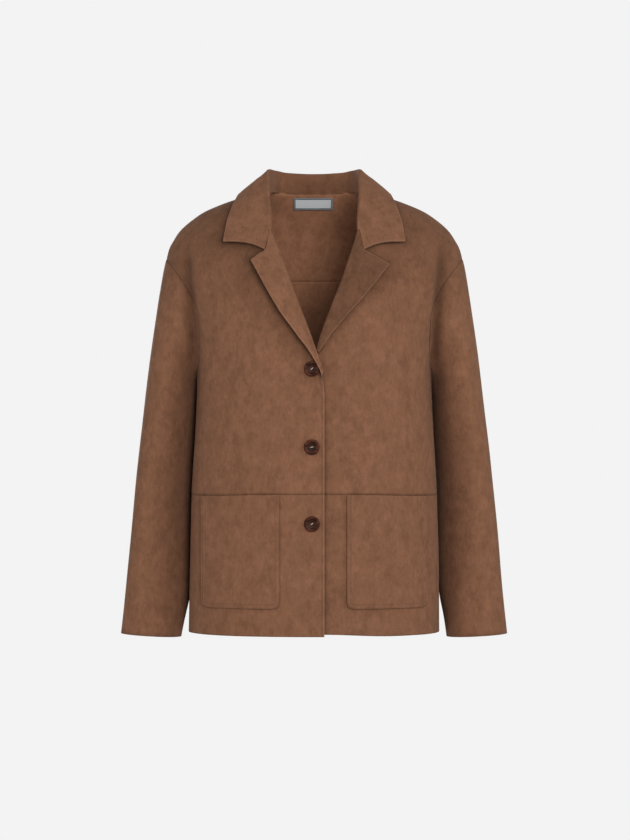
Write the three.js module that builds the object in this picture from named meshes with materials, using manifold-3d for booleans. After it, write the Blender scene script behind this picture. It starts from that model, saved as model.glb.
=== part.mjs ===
// A hip-length women's suede jacket, filled out as it is when worn: a notched collar and lapels, drop
// shoulders, plain sleeves, a seam across each front at the waist, two patch pockets and three buttons.
// Every piece of cloth is a wall of its real thickness. Millimetres, +Z up, the front faces -Y, and the
// origin lies in the middle of the neck opening, a little below the neck seam.
import * as THREE from 'three';
import { mergeVertices } from 'three/addons/utils/BufferGeometryUtils.js';
import Module from 'manifold-3d';

const wasm = await Module();
wasm.setup();

// Driving dimensions
const CLOTH = 2.0; // suede body, sleeves
const DOUBLE = 2.6; // lapel and collar, two layers sewn together
const POCKET_CLOTH = 1.5;
const SEAM_GAP = 0.3; // between pieces that are sewn to each other
const HEM_Z = -631;
const WAIST_Z = -431; // seam across each front
const UNDERARM_Z = -262;
const SHOULDER_TIP_Z = -94; // top of the armhole
const YOKE_Z = -121; // seam across the back
const NECK_SIDE_Z = 9; // where the shoulder seam meets the neck
const NECK_BACK_Z = 7.5; // neck seam at the centre back
const NECK_SIDE_X = 67;
const GORGE_Z = -57; // where the collar meets the lapel at the fold
const SQUARENESS = 2.4; // 2 is an ellipse, more is a boxier chest
const FRONT_EDGE = 14.2; // how far the upper front runs past the middle
const UNDER_EDGE = 20; // how far the lower front runs past the middle, underneath
const UNDERLAP_DEPTH = 3.4; // how deep the lower front sinks below the upper one
const UNDERLAP_RISE = 3; // how much shorter the lower front is at its own edge
const WAIST_DROP = 2.5; // how much lower the waist seam lies at the sides than at the middle
const FOLD_RADIUS = 3.3; // outer radius of every fold in doubled cloth
const FOLD_FLAT = 1.2; // flat strip between a seam and the fold beside it
// A front's edge lies this far behind its lapel's fold, measured across the chest's slant
const FOLD_REACH = (FOLD_RADIUS + FOLD_FLAT + SEAM_GAP) * 1.06;

// The trunk, level by level: half width, depth before and behind the side line, and that line's own y
const TRUNK = {
  columns: ['z', 'half', 'front', 'back', 'mid'],
  rows: [
    [HEM_Z, 181.7, 132, 118, 0],
    [-540, 180.5, 132, 112, 0],
    [WAIST_Z, 177.3, 132, 106, 0],
    [-326, 172, 133, 106, 0],
    [UNDERARM_Z, 170, 132, 110, 0],
    [-215, 172.6, 129.5, 114, 0],
    [-180, 180.5, 125, 116, 0],
    [-150, 192, 119, 115, 0],
    [-120, 207, 110.5, 111, 1],
    [SHOULDER_TIP_Z, 215, 100, 105, 2],
    [-60, 200.4, 84, 95, 3],
    [-42.6, 184.9, 74, 87, 4],
    [-21.5, 153.7, 60, 74, 4],
    [-6, 114, 47, 64, 5],
    [NECK_SIDE_Z, 69, 36, 55, 6],
    [45, 24, 12, 20, 8],
  ],
};
// The armhole seam, seen from the front: how far out it runs at each level
const ARMHOLE = {
  columns: ['z', 'x'],
  rows: [
    [UNDERARM_Z, 170],
    [-245, 166.5],
    [-215, 165.2],
    [-180, 166.5],
    [-155, 173],
    [-137, 182],
    [-118, 195],
    [-102, 208],
    [SHOULDER_TIP_Z, 215],
  ],
};
const ARMHOLE_LEVELS = [-94, -98, -107, -121, -143, -170, -198, -226, -246, -258, -262];
// The fold of each lapel, as distance from the middle, and the neck seam above it
const LAPEL_FOLD = {
  right: [[-208, 3.9], [-164, 20.5], [-131, 32.9], [-101, 43.4], [-78, 52.4], [GORGE_Z, 60.6]],
  left: [[-206, 8.6], [-172, 21.2], [-129, 38], [-101, 47.3], [-78, 54.8], [GORGE_Z, 60.6]],
};
const NECKLINE = [[-33, 66.6], [-10, 67.2], [NECK_SIDE_Z, NECK_SIDE_X]];
// The fronts' own edges below the lapels
const FRONT_EDGES = {
  right: [[-290, -FRONT_EDGE], [-272, -12.4], [-260, -10.2], [-247, -5.6], [-226, 2.6]],
  left: [[-290, -UNDER_EDGE], [-268, -UNDER_EDGE], [-250, -10], [-229, 7]],
};
// Free edges of the lapels from the break up to the tip, as [distance from the middle, z]
const LAPELS = {
  right: {
    breakZ: -246.5,
    lift: 10,
    edge: [
      [-5.2, -247.2], [-3, -243.5], [-0.2, -239.6], [3.9, -234.5], [8.5, -227], [16.5, -217], [32, -195.8],
      [46, -177], [62.4, -150], [75.3, -126.5], [90.3, -99],
    ],
  },
  left: {
    breakZ: -226,
    lift: 4.6,
    edge: [[7.6, -227], [25, -203.8], [45.6, -179], [66.4, -156], [87, -131], [106.5, -105.5]],
  },
};
const NOTCH = [70, -83.8];
const COLLAR_POINT = [129.8, -71.5];
const COLLAR_FRONT_LIFT = 8; // how far the collar's front edge stands off the chest
const COLLAR_LIFT = 5; // and how far the rest of it does
// The collar's stations from the gorge round to the centre back. turn is the way the cloth faces,
// from 0 at the front to 180 at the back, lean tips the stand over, sweep is how far the fold turns,
// height is the stand with its fold, and edge is where the free edge lies
const COLLAR = [
  { z: GORGE_Z },
  { z: -45, turn: 24, lean: 42, sweep: 172, height: 8, edge: [127.5, -72, -55] },
  { z: -31, turn: 40, lean: 16, sweep: 162, height: 14, edge: [124.6, -60, -38] },
  { z: -22, turn: 49, lean: 9, sweep: 156, height: 18, edge: [122, -50, -29] },
  { z: -13, turn: 59, lean: 4, sweep: 149, height: 22.2, edge: [119.2, -38, -20.5] },
  { z: -1, turn: 75, lean: 0, sweep: 141, height: 26.8, edge: [114.8, -18, -11] },
  { z: NECK_SIDE_Z, turn: 92, lean: 0, sweep: 136, height: 28.8, edge: [111.5, 4, -5] },
  { x: 56, turn: 118, lean: -2, sweep: 138, height: 29.5, edge: [97, 46, -10] },
  { x: 39, turn: 142, lean: -4, sweep: 146, height: 29.5, edge: [70, 72, -17] },
  { x: 20, turn: 163, lean: -5, sweep: 154, height: 29, edge: [36, 84, -22] },
  { x: 0, turn: 180, lean: -6, sweep: 158, height: 28.8, edge: [0, 88, -24] },
];
// The sleeve, ring by ring: its outer and inner line seen from the front, half its depth, the y of its
// middle, how far behind that its inner line lies, and how much of the armhole's shape it keeps
const SLEEVE = {
  columns: ['outerX', 'outerZ', 'innerX', 'innerZ', 'depth', 'mid', 'behind', 'fit'],
  rows: [
    [218.2, -105, 171.4, -265.5, 52, 3, 1, 0.72],
    [222.2, -128, 171.8, -270, 59, 5, 4, 0.36],
    [227.8, -166, 172.4, -278, 66, 8, 12, 0.12],
    [233, -203, 171, -290, 71, 10, 22, 0],
    [238.6, -245, 169.8, -306, 73, 11, 29, 0],
    [245, -297, 169.9, -332, 71.5, 12, 34, 0],
    [250.2, -340, 171.4, -364, 68, 12, 34, 0],
    [256.6, -394, 174, -406, 63.5, 11, 34, 0],
    [262, -450, 176.6, -458, 58.5, 9, 31, 0],
    [267, -505, 179, -512, 53.5, 6, 26, 0],
    [272.3, -560, 181.2, -572, 49, 2, 17, 0],
    [276, -600, 186.6, -604, 45.6, -1, 10, 0],
    [279.4, -634, 192.3, -639, 42.5, -4, 2, 0],
  ],
};
const SLEEVE_SQUARENESS = 2.15;
// The pocket, seen from the front
const POCKET = { inner: { right: 49, left: 45.5 }, outer: 161, bottom: -592, corner: 9, lift: 0.4 };
const BUTTON = {
  x: -3.4,
  levels: [-254, -364, -472],
  radius: 11,
  rim: 3.9,
  dish: 1.3,
  dishRadius: 7.4,
  hole: 1.1,
  spacing: 2.4,
  turn: 35,
  lift: 0.4,
};
const LABEL = { x: -1.6, half: 29, top: 2, bottom: -15, thickness: 0.6, gap: 0.9 };

// Colours and surfaces
const SUEDE = new THREE.MeshStandardMaterial({ color: 0x7a533b, roughness: 0.95, metalness: 0 });
const HORN = new THREE.MeshStandardMaterial({ color: 0x3a1c10, roughness: 0.35, metalness: 0 });
const WOVEN = new THREE.MeshStandardMaterial({ color: 0xd9dcdc, roughness: 0.8, metalness: 0 });

const clamp = (v, low, high) => Math.min(high, Math.max(low, v));
const mix = (a, b, t) => a + (b - a) * t;
const smooth = (low, high, v) => {
  const t = clamp((v - low) / (high - low), 0, 1);
  return t * t * (3 - 2 * t);
};
const vec = (x, y, z) => new THREE.Vector3(x, y, z);
const range = (n) => Array.from({ length: n + 1 }, (_, i) => i / n);

// A smooth curve through the rows of a table, with no overshoot between them
function reader(table) {
  const name = table.columns[0];
  const rows = [...table.rows].sort((a, b) => a[0] - b[0]);
  const x = rows.map((r) => r[0]);
  const slopes = {};
  const column = {};
  table.columns.slice(1).forEach((key, c) => {
    const y = rows.map((r) => r[c + 1]);
    const secant = y.slice(1).map((v, i) => (v - y[i]) / (x[i + 1] - x[i]));
    slopes[key] = y.map((_, i) => {
      const before = secant[Math.max(i - 1, 0)];
      const after = secant[Math.min(i, secant.length - 1)];
      return before * after <= 0 ? 0 : (2 * before * after) / (before + after);
    });
    column[key] = y;
  });
  return (value, key = name) => {
    const v = clamp(value, x[0], x[x.length - 1]);
    let i = 0;
    while (i < x.length - 2 && v > x[i + 1]) i += 1;
    const h = x[i + 1] - x[i];
    const t = (v - x[i]) / h;
    const y = column[key];
    const m = slopes[key];
    return (
      y[i] * (1 + 2 * t) * (1 - t) ** 2 + y[i + 1] * t * t * (3 - 2 * t)
      + h * t * (1 - t) * (m[i] * (1 - t) - m[i + 1] * t)
    );
  };
}

// A point along a chain of points, by its share of the chain's length, rounded between them
function along(points, share) {
  const lengths = [0];
  points.slice(1).forEach((p, i) => {
    const step = p.map((v, k) => v - points[i][k]);
    lengths.push(lengths[i] + Math.hypot(...step));
  });
  const total = lengths[lengths.length - 1];
  const columns = ['s', ...points[0].map((_, k) => `c${k}`)];
  const read = reader({ columns, rows: points.map((p, i) => [lengths[i] / total, ...p]) });
  return points[0].map((_, k) => read(share, `c${k}`));
}

const trunk = reader(TRUNK);
const armhole = reader(ARMHOLE);
const frontEdge = {};
['right', 'left'].forEach((name) => {
  const folded = LAPEL_FOLD[name].map(([z, x]) => [z, x + FOLD_REACH]);
  frontEdge[name] = reader({ columns: ['z', 'x'], rows: [...FRONT_EDGES[name], ...folded, ...NECKLINE] });
});

// The trunk's outer form. outside is above 0 outside it, and grows with distance
function outside(p) {
  const depth = trunk(p.z, p.y < trunk(p.z, 'mid') ? 'front' : 'back');
  const sideways = Math.abs(p.x) / trunk(p.z, 'half');
  const forwards = Math.abs(p.y - trunk(p.z, 'mid')) / depth;
  return sideways ** SQUARENESS + forwards ** SQUARENESS - 1;
}
function slope(p) {
  const step = 0.5;
  const part = (axis) => {
    const ahead = p.clone();
    const behind = p.clone();
    ahead[axis] += step;
    behind[axis] -= step;
    return (outside(ahead) - outside(behind)) / (2 * step);
  };
  return vec(part('x'), part('y'), part('z'));
}
const facing = (p) => slope(p).normalize();
const heightOver = (p) => outside(p) / slope(p).length();

// The point of the form at x and z, on the front or the back
function onForm(x, z, front) {
  const inside = Math.max(0, 1 - (Math.abs(x) / trunk(z, 'half')) ** SQUARENESS) ** (1 / SQUARENESS);
  const y = front ? -trunk(z, 'front') * inside : trunk(z, 'back') * inside;
  return vec(x, y + trunk(z, 'mid'), z);
}
// The point at a height over the front that is seen at x and z
function lifted(x, z, height) {
  let [baseX, baseZ] = [x, z];
  let p;
  for (let i = 0; i < 5; i += 1) {
    p = onForm(baseX, baseZ, true);
    p.addScaledVector(facing(p), height);
    baseX += x - p.x;
    baseZ += z - p.z;
  }
  return p;
}
// Moves a point out to the wanted height over the form, or to it exactly
function seat(p, height, exactly) {
  for (let i = 0; i < 6; i += 1) {
    const short = height - heightOver(p);
    if (short > 0 || exactly) p.addScaledVector(facing(p), short);
  }
  return p;
}

// A place on the form as an angle round it from the middle, and back to its x
function turnAt(x, z) {
  const share = Math.min(1, Math.abs(x) / trunk(z, 'half'));
  return Math.sign(x) * Math.asin(share ** (SQUARENESS / 2));
}
function xAt(turn, z) {
  return Math.sign(turn) * trunk(z, 'half') * Math.abs(Math.sin(turn)) ** (2 / SQUARENESS);
}
// x values from one place to another, evenly spaced round the form's curve
const across = (from, to, z, shares) => shares.map((t) => xAt(mix(turnAt(from, z), turnAt(to, z), t), z));
// The same out to the armhole, where only the columns past the knee draw in to meet it
const KNEE = 0.6;
function toSide(from, to, z, inner, outer) {
  const knee = xAt(mix(turnAt(from, z), Math.PI / 2, KNEE), z);
  return [...across(from, knee, z, range(inner)), ...across(knee, to, z, range(outer)).slice(1)];
}
// The side seam's x, kept half a seam gap before or behind the side line
function sideX(z, front) {
  const depth = trunk(z, front ? 'front' : 'back');
  return trunk(z, 'half') * (1 - (SEAM_GAP / 2 / depth) ** SQUARENESS) ** (1 / SQUARENESS);
}
function outerEdge(z, front) {
  if (z <= UNDERARM_Z || z >= SHOULDER_TIP_Z) return sideX(z, front);
  return Math.min(armhole(z, 'x'), sideX(z, front));
}

// A closed body from two grids of points that face each other. ring closes it along its rows
function shell(outer, inner, ring = false) {
  const rows = outer.length;
  const columns = outer[0].length;
  const points = [...outer.flat(), ...inner.flat()];
  const index = [];
  const at = (side, i, j) => side * rows * columns + i * columns + (j % columns);
  const quad = (a, b, c, d) => index.push(a, b, c, a, c, d);
  const spans = ring ? columns : columns - 1;
  for (let i = 0; i < rows - 1; i += 1) {
    for (let j = 0; j < spans; j += 1) {
      quad(at(0, i, j), at(0, i, j + 1), at(0, i + 1, j + 1), at(0, i + 1, j));
      quad(at(1, i, j), at(1, i + 1, j), at(1, i + 1, j + 1), at(1, i, j + 1));
    }
  }
  for (let j = 0; j < spans; j += 1) {
    quad(at(0, 0, j), at(1, 0, j), at(1, 0, j + 1), at(0, 0, j + 1));
    quad(at(0, rows - 1, j), at(0, rows - 1, j + 1), at(1, rows - 1, j + 1), at(1, rows - 1, j));
  }
  if (!ring) {
    const end = columns - 1;
    for (let i = 0; i < rows - 1; i += 1) {
      quad(at(0, i, 0), at(0, i + 1, 0), at(1, i + 1, 0), at(1, i, 0));
      quad(at(0, i, end), at(1, i, end), at(1, i + 1, end), at(0, i + 1, end));
    }
  }
  let volume = 0;
  for (let k = 0; k < index.length; k += 3) {
    volume += points[index[k]].dot(points[index[k + 1]].clone().cross(points[index[k + 2]]));
  }
  if (volume < 0) index.reverse();
  const geometry = new THREE.BufferGeometry();
  geometry.setAttribute('position', new THREE.Float32BufferAttribute(points.flatMap((p) => p.toArray()), 3));
  geometry.setIndex(index);
  return geometry;
}
// Which way a grid faces at each of its points
function gridFacing(grid, ring = false) {
  const last = grid.length - 1;
  const columns = grid[0].length;
  return grid.map((row, i) => row.map((_, j) => {
    const before = ring ? (j + columns - 1) % columns : Math.max(j - 1, 0);
    const after = ring ? (j + 1) % columns : Math.min(j + 1, columns - 1);
    const alongRow = row[after].clone().sub(row[before]);
    const alongColumn = grid[Math.min(i + 1, last)][j].clone().sub(grid[Math.max(i - 1, 0)][j]);
    return alongRow.cross(alongColumn).normalize();
  }));
}
function moved(grid, facings, distance) {
  return grid.map((row, i) => row.map((p, j) => p.clone().addScaledVector(facings[i][j], distance)));
}

const flat = () => 0;
// A grid over the trunk, each point moved out along its own normal by what height gives for it
function raised(grid, height) {
  return grid.map((row) => row.map((p) => p.clone().addScaledVector(facing(p), height(p))));
}
// A wall of cloth in the trunk's form. Its outer face follows the form, and height sinks or lifts it
function trunkWall(grid, thickness, height = flat) {
  return shell(raised(grid, height), raised(grid, (p) => height(p) - thickness));
}

const root = new THREE.Group();
function add(name, geometry, material) {
  const mesh = new THREE.Mesh(geometry, material);
  mesh.name = name;
  root.add(mesh);
  return mesh;
}

// Fronts. side is -1 for the wearer's right, which laps over, and 1 for the wearer's left
const SIDES = [['right', -1], ['left', 1]];
const waistZ = (x) => WAIST_Z - WAIST_DROP * smooth(50, 170, Math.abs(x));
// How far the wearer's left front sinks to pass under the right one
function underlap(p) {
  const past = smooth(FRONT_EDGE + 2, FRONT_EDGE + 32, p.x);
  const above = smooth(-236, -206, p.z);
  return -UNDERLAP_DEPTH * (1 - past) * (1 - above);
}
const DEPTH = { right: flat, left: underlap };
const UPPER_LEVELS = [
  WAIST_Z, -396, -361, -326, -304, -290, -276,
  ...[...ARMHOLE_LEVELS].reverse(),
  -78, -67, GORGE_Z, -45, -31, -22, -13, -7, -1, 4, NECK_SIDE_Z,
];
SIDES.forEach(([name, side]) => {
  const grid = UPPER_LEVELS.map((z) => {
    return toSide(frontEdge[name](z, 'x'), outerEdge(z, true), z, 8, 5).map((x) => {
      return onForm(side * x, z === WAIST_Z ? waistZ(x) + SEAM_GAP / 2 : z, true);
    });
  });
  add(`front_${name}_upper`, trunkWall(grid, CLOTH, DEPTH[name]), SUEDE);
});

// Below the waist the panels have grid lines on the pocket's edges, so that the pocket lies flat on them
const LOWER_LEVELS = [
  HEM_Z, -612, POCKET.bottom, POCKET.bottom + POCKET.corner, -553, -524, -494, -462, WAIST_Z,
];
function lowerColumns(edge, inner, z) {
  const { outer, corner } = POCKET;
  const runs = [
    across(edge, inner, z, [0, 0.34, 0.67]),
    across(inner, inner + corner, z, [0]),
    across(inner + corner, outer - corner, z, [0, 0.25, 0.5, 0.75]),
    across(outer - corner, outer, z, [0]),
    across(outer, sideX(z, true), z, [0, 0.5, 1]),
  ];
  return runs.flat();
}
function lowerGrid(name, side) {
  const edge = name === 'right' ? -FRONT_EDGE : -UNDER_EDGE;
  return LOWER_LEVELS.map((z) => lowerColumns(edge, POCKET.inner[name], z).map((x) => {
    const rise = name === 'left' && z === HEM_Z ? UNDERLAP_RISE * (1 - smooth(20, 110, x)) : 0;
    return onForm(side * x, z === WAIST_Z ? waistZ(x) - SEAM_GAP / 2 : z + rise, true);
  }));
}
SIDES.forEach(([name, side]) => {
  add(`front_${name}_lower`, trunkWall(lowerGrid(name, side), CLOTH, DEPTH[name]), SUEDE);
});

// A pocket is its panel's own points, moved out, with the two lower corners drawn in
const POCKET_ROWS = [2, 8];
const POCKET_COLUMNS = [3, 9];
const CORNER_DRAW = 0.3;
SIDES.forEach(([name, side]) => {
  const rows = lowerGrid(name, side).slice(POCKET_ROWS[0], POCKET_ROWS[1] + 1);
  const grid = rows.map((row) => row.slice(POCKET_COLUMNS[0], POCKET_COLUMNS[1] + 1));
  const last = grid[0].length - 1;
  [[0, 1], [last, last - 1]].forEach(([corner, next]) => grid[0][corner].lerp(grid[1][next], CORNER_DRAW));
  const height = (p) => POCKET.lift + POCKET_CLOTH + DEPTH[name](p);
  add(`pocket_${name}`, trunkWall(grid, POCKET_CLOTH, height), SUEDE);
});

// Back, below the yoke
const BACK_LEVELS = [
  HEM_Z, -581, -531, -481, -431, -378, -326, -294,
  ...ARMHOLE_LEVELS.filter((z) => z < YOKE_Z).reverse(),
  YOKE_Z - SEAM_GAP,
];
const backRows = BACK_LEVELS.map((z) => {
  const half = toSide(0, outerEdge(z, false), z, 6, 5);
  return [...half.slice(1).reverse().map((x) => -x), ...half].map((x) => onForm(x, z, false));
});
add('back', trunkWall(backRows, CLOTH), SUEDE);

// Back yoke, from the seam up to the neck and the shoulder seams
function ridgeZ(x) {
  let low = SHOULDER_TIP_Z;
  let high = NECK_SIDE_Z;
  for (let i = 0; i < 40; i += 1) {
    const middle = (low + high) / 2;
    if (sideX(middle, false) > x) low = middle;
    else high = middle;
  }
  return (low + high) / 2;
}
const neckZ = (x) => NECK_BACK_Z + (NECK_SIDE_Z - NECK_BACK_Z) * (x / NECK_SIDE_X) ** 2;
const YOKE_X = [
  0, 10, 20, 30, 39, 56, NECK_SIDE_X, 92, 120, 148, 172, 191, 205,
  sideX(SHOULDER_TIP_Z, false),
];
const YOKE_SIDE_LEVELS = [YOKE_Z, -114, -107, -102.5, -98, -96, SHOULDER_TIP_Z];
const mirror = (p) => vec(-p.x, p.y, p.z);
// A point of the yoke on the column that ends at x on its top edge, a share t of the way up
function yokePoint(x, t) {
  if (x <= NECK_SIDE_X) return onForm(x, mix(YOKE_Z, neckZ(x), t), false);
  const tip = YOKE_X[YOKE_X.length - 1];
  const bottomX = mix(NECK_SIDE_X, armhole(YOKE_Z, 'x'), (x - NECK_SIDE_X) / (tip - NECK_SIDE_X));
  const share = 1 - (1 - t) ** 1.7;
  const z = mix(YOKE_Z, ridgeZ(x), share);
  return onForm(Math.min(mix(bottomX, x, share), sideX(z, false)), z, false);
}
function yokeGrid() {
  const edge = YOKE_X.length - 1;
  const half = YOKE_SIDE_LEVELS.map((sideZ, i) => {
    const inner = YOKE_X.slice(0, edge).map((x) => yokePoint(x, i / (YOKE_SIDE_LEVELS.length - 1)));
    return [...inner, onForm(outerEdge(sideZ, false), sideZ, false)];
  });
  // Rows between the armhole's own levels keep to the straight line between them
  [1, 3, 5].forEach((i) => half[i][edge].copy(half[i - 1][edge]).lerp(half[i + 1][edge], 0.5));
  return half.map((row) => [...row.slice(1).reverse().map(mirror), ...row]);
}
add('back_yoke', trunkWall(yokeGrid(), CLOTH), SUEDE);

// Sleeves. The first ring is the armhole itself, and the next few ease from it to plain ovals
const ARMHOLE_GAP = { x: SEAM_GAP * 1.6, z: -SEAM_GAP * 0.6 };
function armholeRing(side) {
  const steps = ARMHOLE_LEVELS.length - 1;
  const count = steps * 2;
  return Array.from({ length: count }, (_, k) => {
    const front = k <= steps;
    const z = ARMHOLE_LEVELS[front ? k : count - k];
    const end = z === SHOULDER_TIP_Z || z === UNDERARM_Z;
    const p = end ? vec(trunk(z, 'half'), trunk(z, 'mid'), z) : onForm(outerEdge(z, front), z, front);
    return vec(side * (p.x + ARMHOLE_GAP.x), p.y, p.z + ARMHOLE_GAP.z);
  });
}
function sleeve(side) {
  const first = armholeRing(side);
  const count = first.length;
  const centre = (ring) => ring.reduce((sum, p) => sum.add(p), vec(0, 0, 0)).divideScalar(count);
  const power = (v) => Math.sign(v) * Math.abs(v) ** (2 / SLEEVE_SQUARENESS);
  const rings = SLEEVE.rows.map(([outerX, outerZ, innerX, innerZ, depth, mid, behind, fit]) => {
    const outer = vec(side * outerX, mid - behind / 3, outerZ);
    const inner = vec(side * innerX, mid + behind, innerZ);
    const middle = outer.clone().add(inner).divideScalar(2);
    const reach = outer.clone().sub(middle);
    const oval = first.map((_, k) => {
      const a = (2 * Math.PI * k) / count;
      const p = middle.clone().addScaledVector(reach, power(Math.cos(a)));
      return p.add(vec(0, -depth * power(Math.sin(a)), 0));
    });
    const shift = centre(oval).sub(centre(first));
    const ring = oval.map((p, k) => p.clone().lerp(first[k].clone().add(shift), fit));
    const outerMiss = outer.clone().sub(ring[0]);
    const innerMiss = inner.clone().sub(ring[count / 2]);
    return ring.map((p, k) => {
      const t = (1 - Math.cos((2 * Math.PI * k) / count)) / 2;
      return p.addScaledVector(outerMiss, 1 - t).addScaledVector(innerMiss, t);
    });
  });
  const outer = [first, ...rings];
  const facings = gridFacing(outer, true);
  const outwards = facings[6][0].x * side > 0 ? -1 : 1;
  return shell(outer, moved(outer, facings, outwards * CLOTH), true);
}
add('sleeve_right', sleeve(-1), SUEDE);
add('sleeve_left', sleeve(1), SUEDE);

// Doubled cloth leaves a panel's edge in the panel's own surface at a lapel, and stands up from it at
// the collar. A frame holds the edge's point, the panel's normal and the way the cloth starts
const FOLD_STEPS = 5;
const FOLD_TOP = 2 * FOLD_RADIUS - CLOTH - SEAM_GAP; // the fold's upper side, over the panel's surface
function edgeFrame(name, side, z) {
  const at = (level) => onForm(side * frontEdge[name](level, 'x'), level, true);
  const base = at(z);
  const out = facing(base);
  const tangent = at(z + 2).sub(at(z - 2)).normalize();
  const inwards = tangent.clone().cross(out).normalize();
  if (inwards.x * side > 0) inwards.negate();
  const height = FOLD_RADIUS + FOLD_FLAT + SEAM_GAP;
  return { base, out, tangent, inwards, towards: inwards.clone(), height, sweep: 180 };
}
function rolled({ base, out, tangent, inwards, towards, height, sweep }) {
  const normal = out.clone().addScaledVector(towards, -out.dot(towards)).normalize();
  const wall = towards.clone().cross(tangent).normalize();
  const rise = clamp(-wall.dot(inwards) * Math.sign(wall.dot(normal)), 0, 1);
  const start = base.clone()
    .addScaledVector(inwards, SEAM_GAP + DOUBLE * rise)
    .addScaledVector(facing(base), -(CLOTH + SEAM_GAP) * (1 - rise) - CLOTH * rise);
  const turn = range(FOLD_STEPS).map((t) => {
    const a = THREE.MathUtils.degToRad(-90 + sweep * t);
    return start.clone()
      .addScaledVector(towards, height - FOLD_RADIUS - SEAM_GAP + FOLD_RADIUS * Math.cos(a))
      .addScaledVector(normal, FOLD_RADIUS * (1 + Math.sin(a)));
  });
  const end = THREE.MathUtils.degToRad(-90 + sweep);
  const leaving = towards.clone().multiplyScalar(-Math.sin(end)).addScaledVector(normal, Math.cos(end));
  return { start, turn, leaving };
}

// The seam between collar and lapel, from the fold down to the notch
const SEAM_SHARES = [0.5, 1];
function gorgeSeam(side, t, shift) {
  const fold = [frontEdge.right(GORGE_Z, 'x') - FOLD_FLAT, GORGE_Z];
  const x = mix(fold[0], NOTCH[0], t) + shift;
  const z = mix(fold[1], NOTCH[1], t) + shift / 4;
  return lifted(side * x, z, mix(FOLD_TOP, COLLAR_FRONT_LIFT, t));
}
const SEAM_SHIFT = SEAM_GAP * 0.75;

// Lapels. Each row starts at the front's edge, turns over the fold and runs out to the free edge
const LAPEL_OUT = [0.25, 0.5, 0.667, 0.833, 1];
// How far the top row, which bends at the notch, lies off the straight line from its fold to its tip
function notchBend(fold, tip, t) {
  const [from, to, share] = t <= 0.5 ? [fold, NOTCH, t * 2] : [NOTCH, tip, t * 2 - 1];
  return from.map((v, k) => mix(v, to[k], share) - mix(fold[k], tip[k], t));
}
// Height over the chest: the lapel lies flat at its break, bows in between and meets the collar on top
function lapelHeight(s, t, lift) {
  const bowed = mix(FOLD_TOP, lift, Math.sin(Math.min(1, t * 1.6) * Math.PI / 2));
  const atCollar = mix(FOLD_TOP, COLLAR_FRONT_LIFT, Math.min(1, t * 2));
  return mix(mix(bowed, atCollar, s ** 3), FOLD_TOP, (1 - s) ** 12);
}
function lapel(name, side) {
  const { breakZ, lift, edge } = LAPELS[name];
  const foldAt = (z) => [frontEdge[name](z, 'x') - FOLD_FLAT, z];
  const top = GORGE_Z - SEAM_GAP / 2;
  const bends = LAPEL_OUT.map((t) => notchBend(foldAt(top), edge[edge.length - 1], t));
  const grid = range(12).map((s) => {
    const level = mix(breakZ, top, s);
    const frame = edgeFrame(name, side, level);
    frame.base.addScaledVector(frame.out, DEPTH[name](frame.base));
    const { start, turn } = rolled(frame);
    const free = along(edge, s);
    const laid = LAPEL_OUT.map((t, j) => {
      if (s === 1 && t <= 0.5) return gorgeSeam(side, t * 2, -SEAM_SHIFT);
      const [x, z] = foldAt(level).map((v, k) => mix(v, free[k], t) + s * bends[j][k]);
      const p = lifted(side * x, z, lapelHeight(s, t, lift));
      return p.addScaledVector(facing(p), DEPTH[name](p));
    });
    return [start, ...turn, ...laid];
  });
  const facings = gridFacing(grid);
  const lastRow = grid.length - 1;
  SEAM_SHARES.forEach((_, k) => {
    const column = grid[0].length - LAPEL_OUT.length + k;
    facings[lastRow][column].copy(facing(grid[lastRow][column])).multiplyScalar(side < 0 ? -1 : 1);
  });
  return shell(grid, moved(grid, facings, (side < 0 ? 1 : -1) * DOUBLE));
}
SIDES.forEach(([name, side]) => add(`lapel_${name}`, lapel(name, side), SUEDE));

// The collar, from one gorge round the neck to the other
const COLLAR_OUT = [0.155, 0.31, 0.48, 0.655, 0.83, 1];
const UP = vec(0, 0, 1);
function neckPoint(station) {
  if (station.z !== undefined) return onForm(frontEdge.right(station.z, 'x'), station.z, true);
  return onForm(station.x, neckZ(station.x), false);
}
function collarFrames() {
  const bases = COLLAR.map(neckPoint);
  return COLLAR.map((station, i) => {
    if (i === 0) return edgeFrame('right', 1, GORGE_Z + SEAM_GAP / 2);
    const turn = THREE.MathUtils.degToRad(station.turn);
    const lean = THREE.MathUtils.degToRad(station.lean);
    const base = bases[i];
    const out = vec(Math.sin(turn), -Math.cos(turn), 0);
    const next = bases[i + 1] || mirror(bases[i - 1]);
    const tangent = next.clone().sub(bases[i - 1]).normalize();
    const inwards = facing(base).cross(tangent).normalize();
    if (inwards.dot(vec(0, 10, 40).sub(base)) < 0) inwards.negate();
    const level = station.turn < 90 ? vec(-1, 0, 0) : out.clone().negate();
    const towards = UP.clone().multiplyScalar(Math.cos(lean)).addScaledVector(level, Math.sin(lean));
    towards.addScaledVector(out, -towards.dot(out)).normalize();
    if (station.turn >= 90) towards.addScaledVector(out, -Math.sin(lean)).normalize();
    return { base, out, tangent, inwards, towards, height: station.height, sweep: station.sweep };
  });
}
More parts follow.
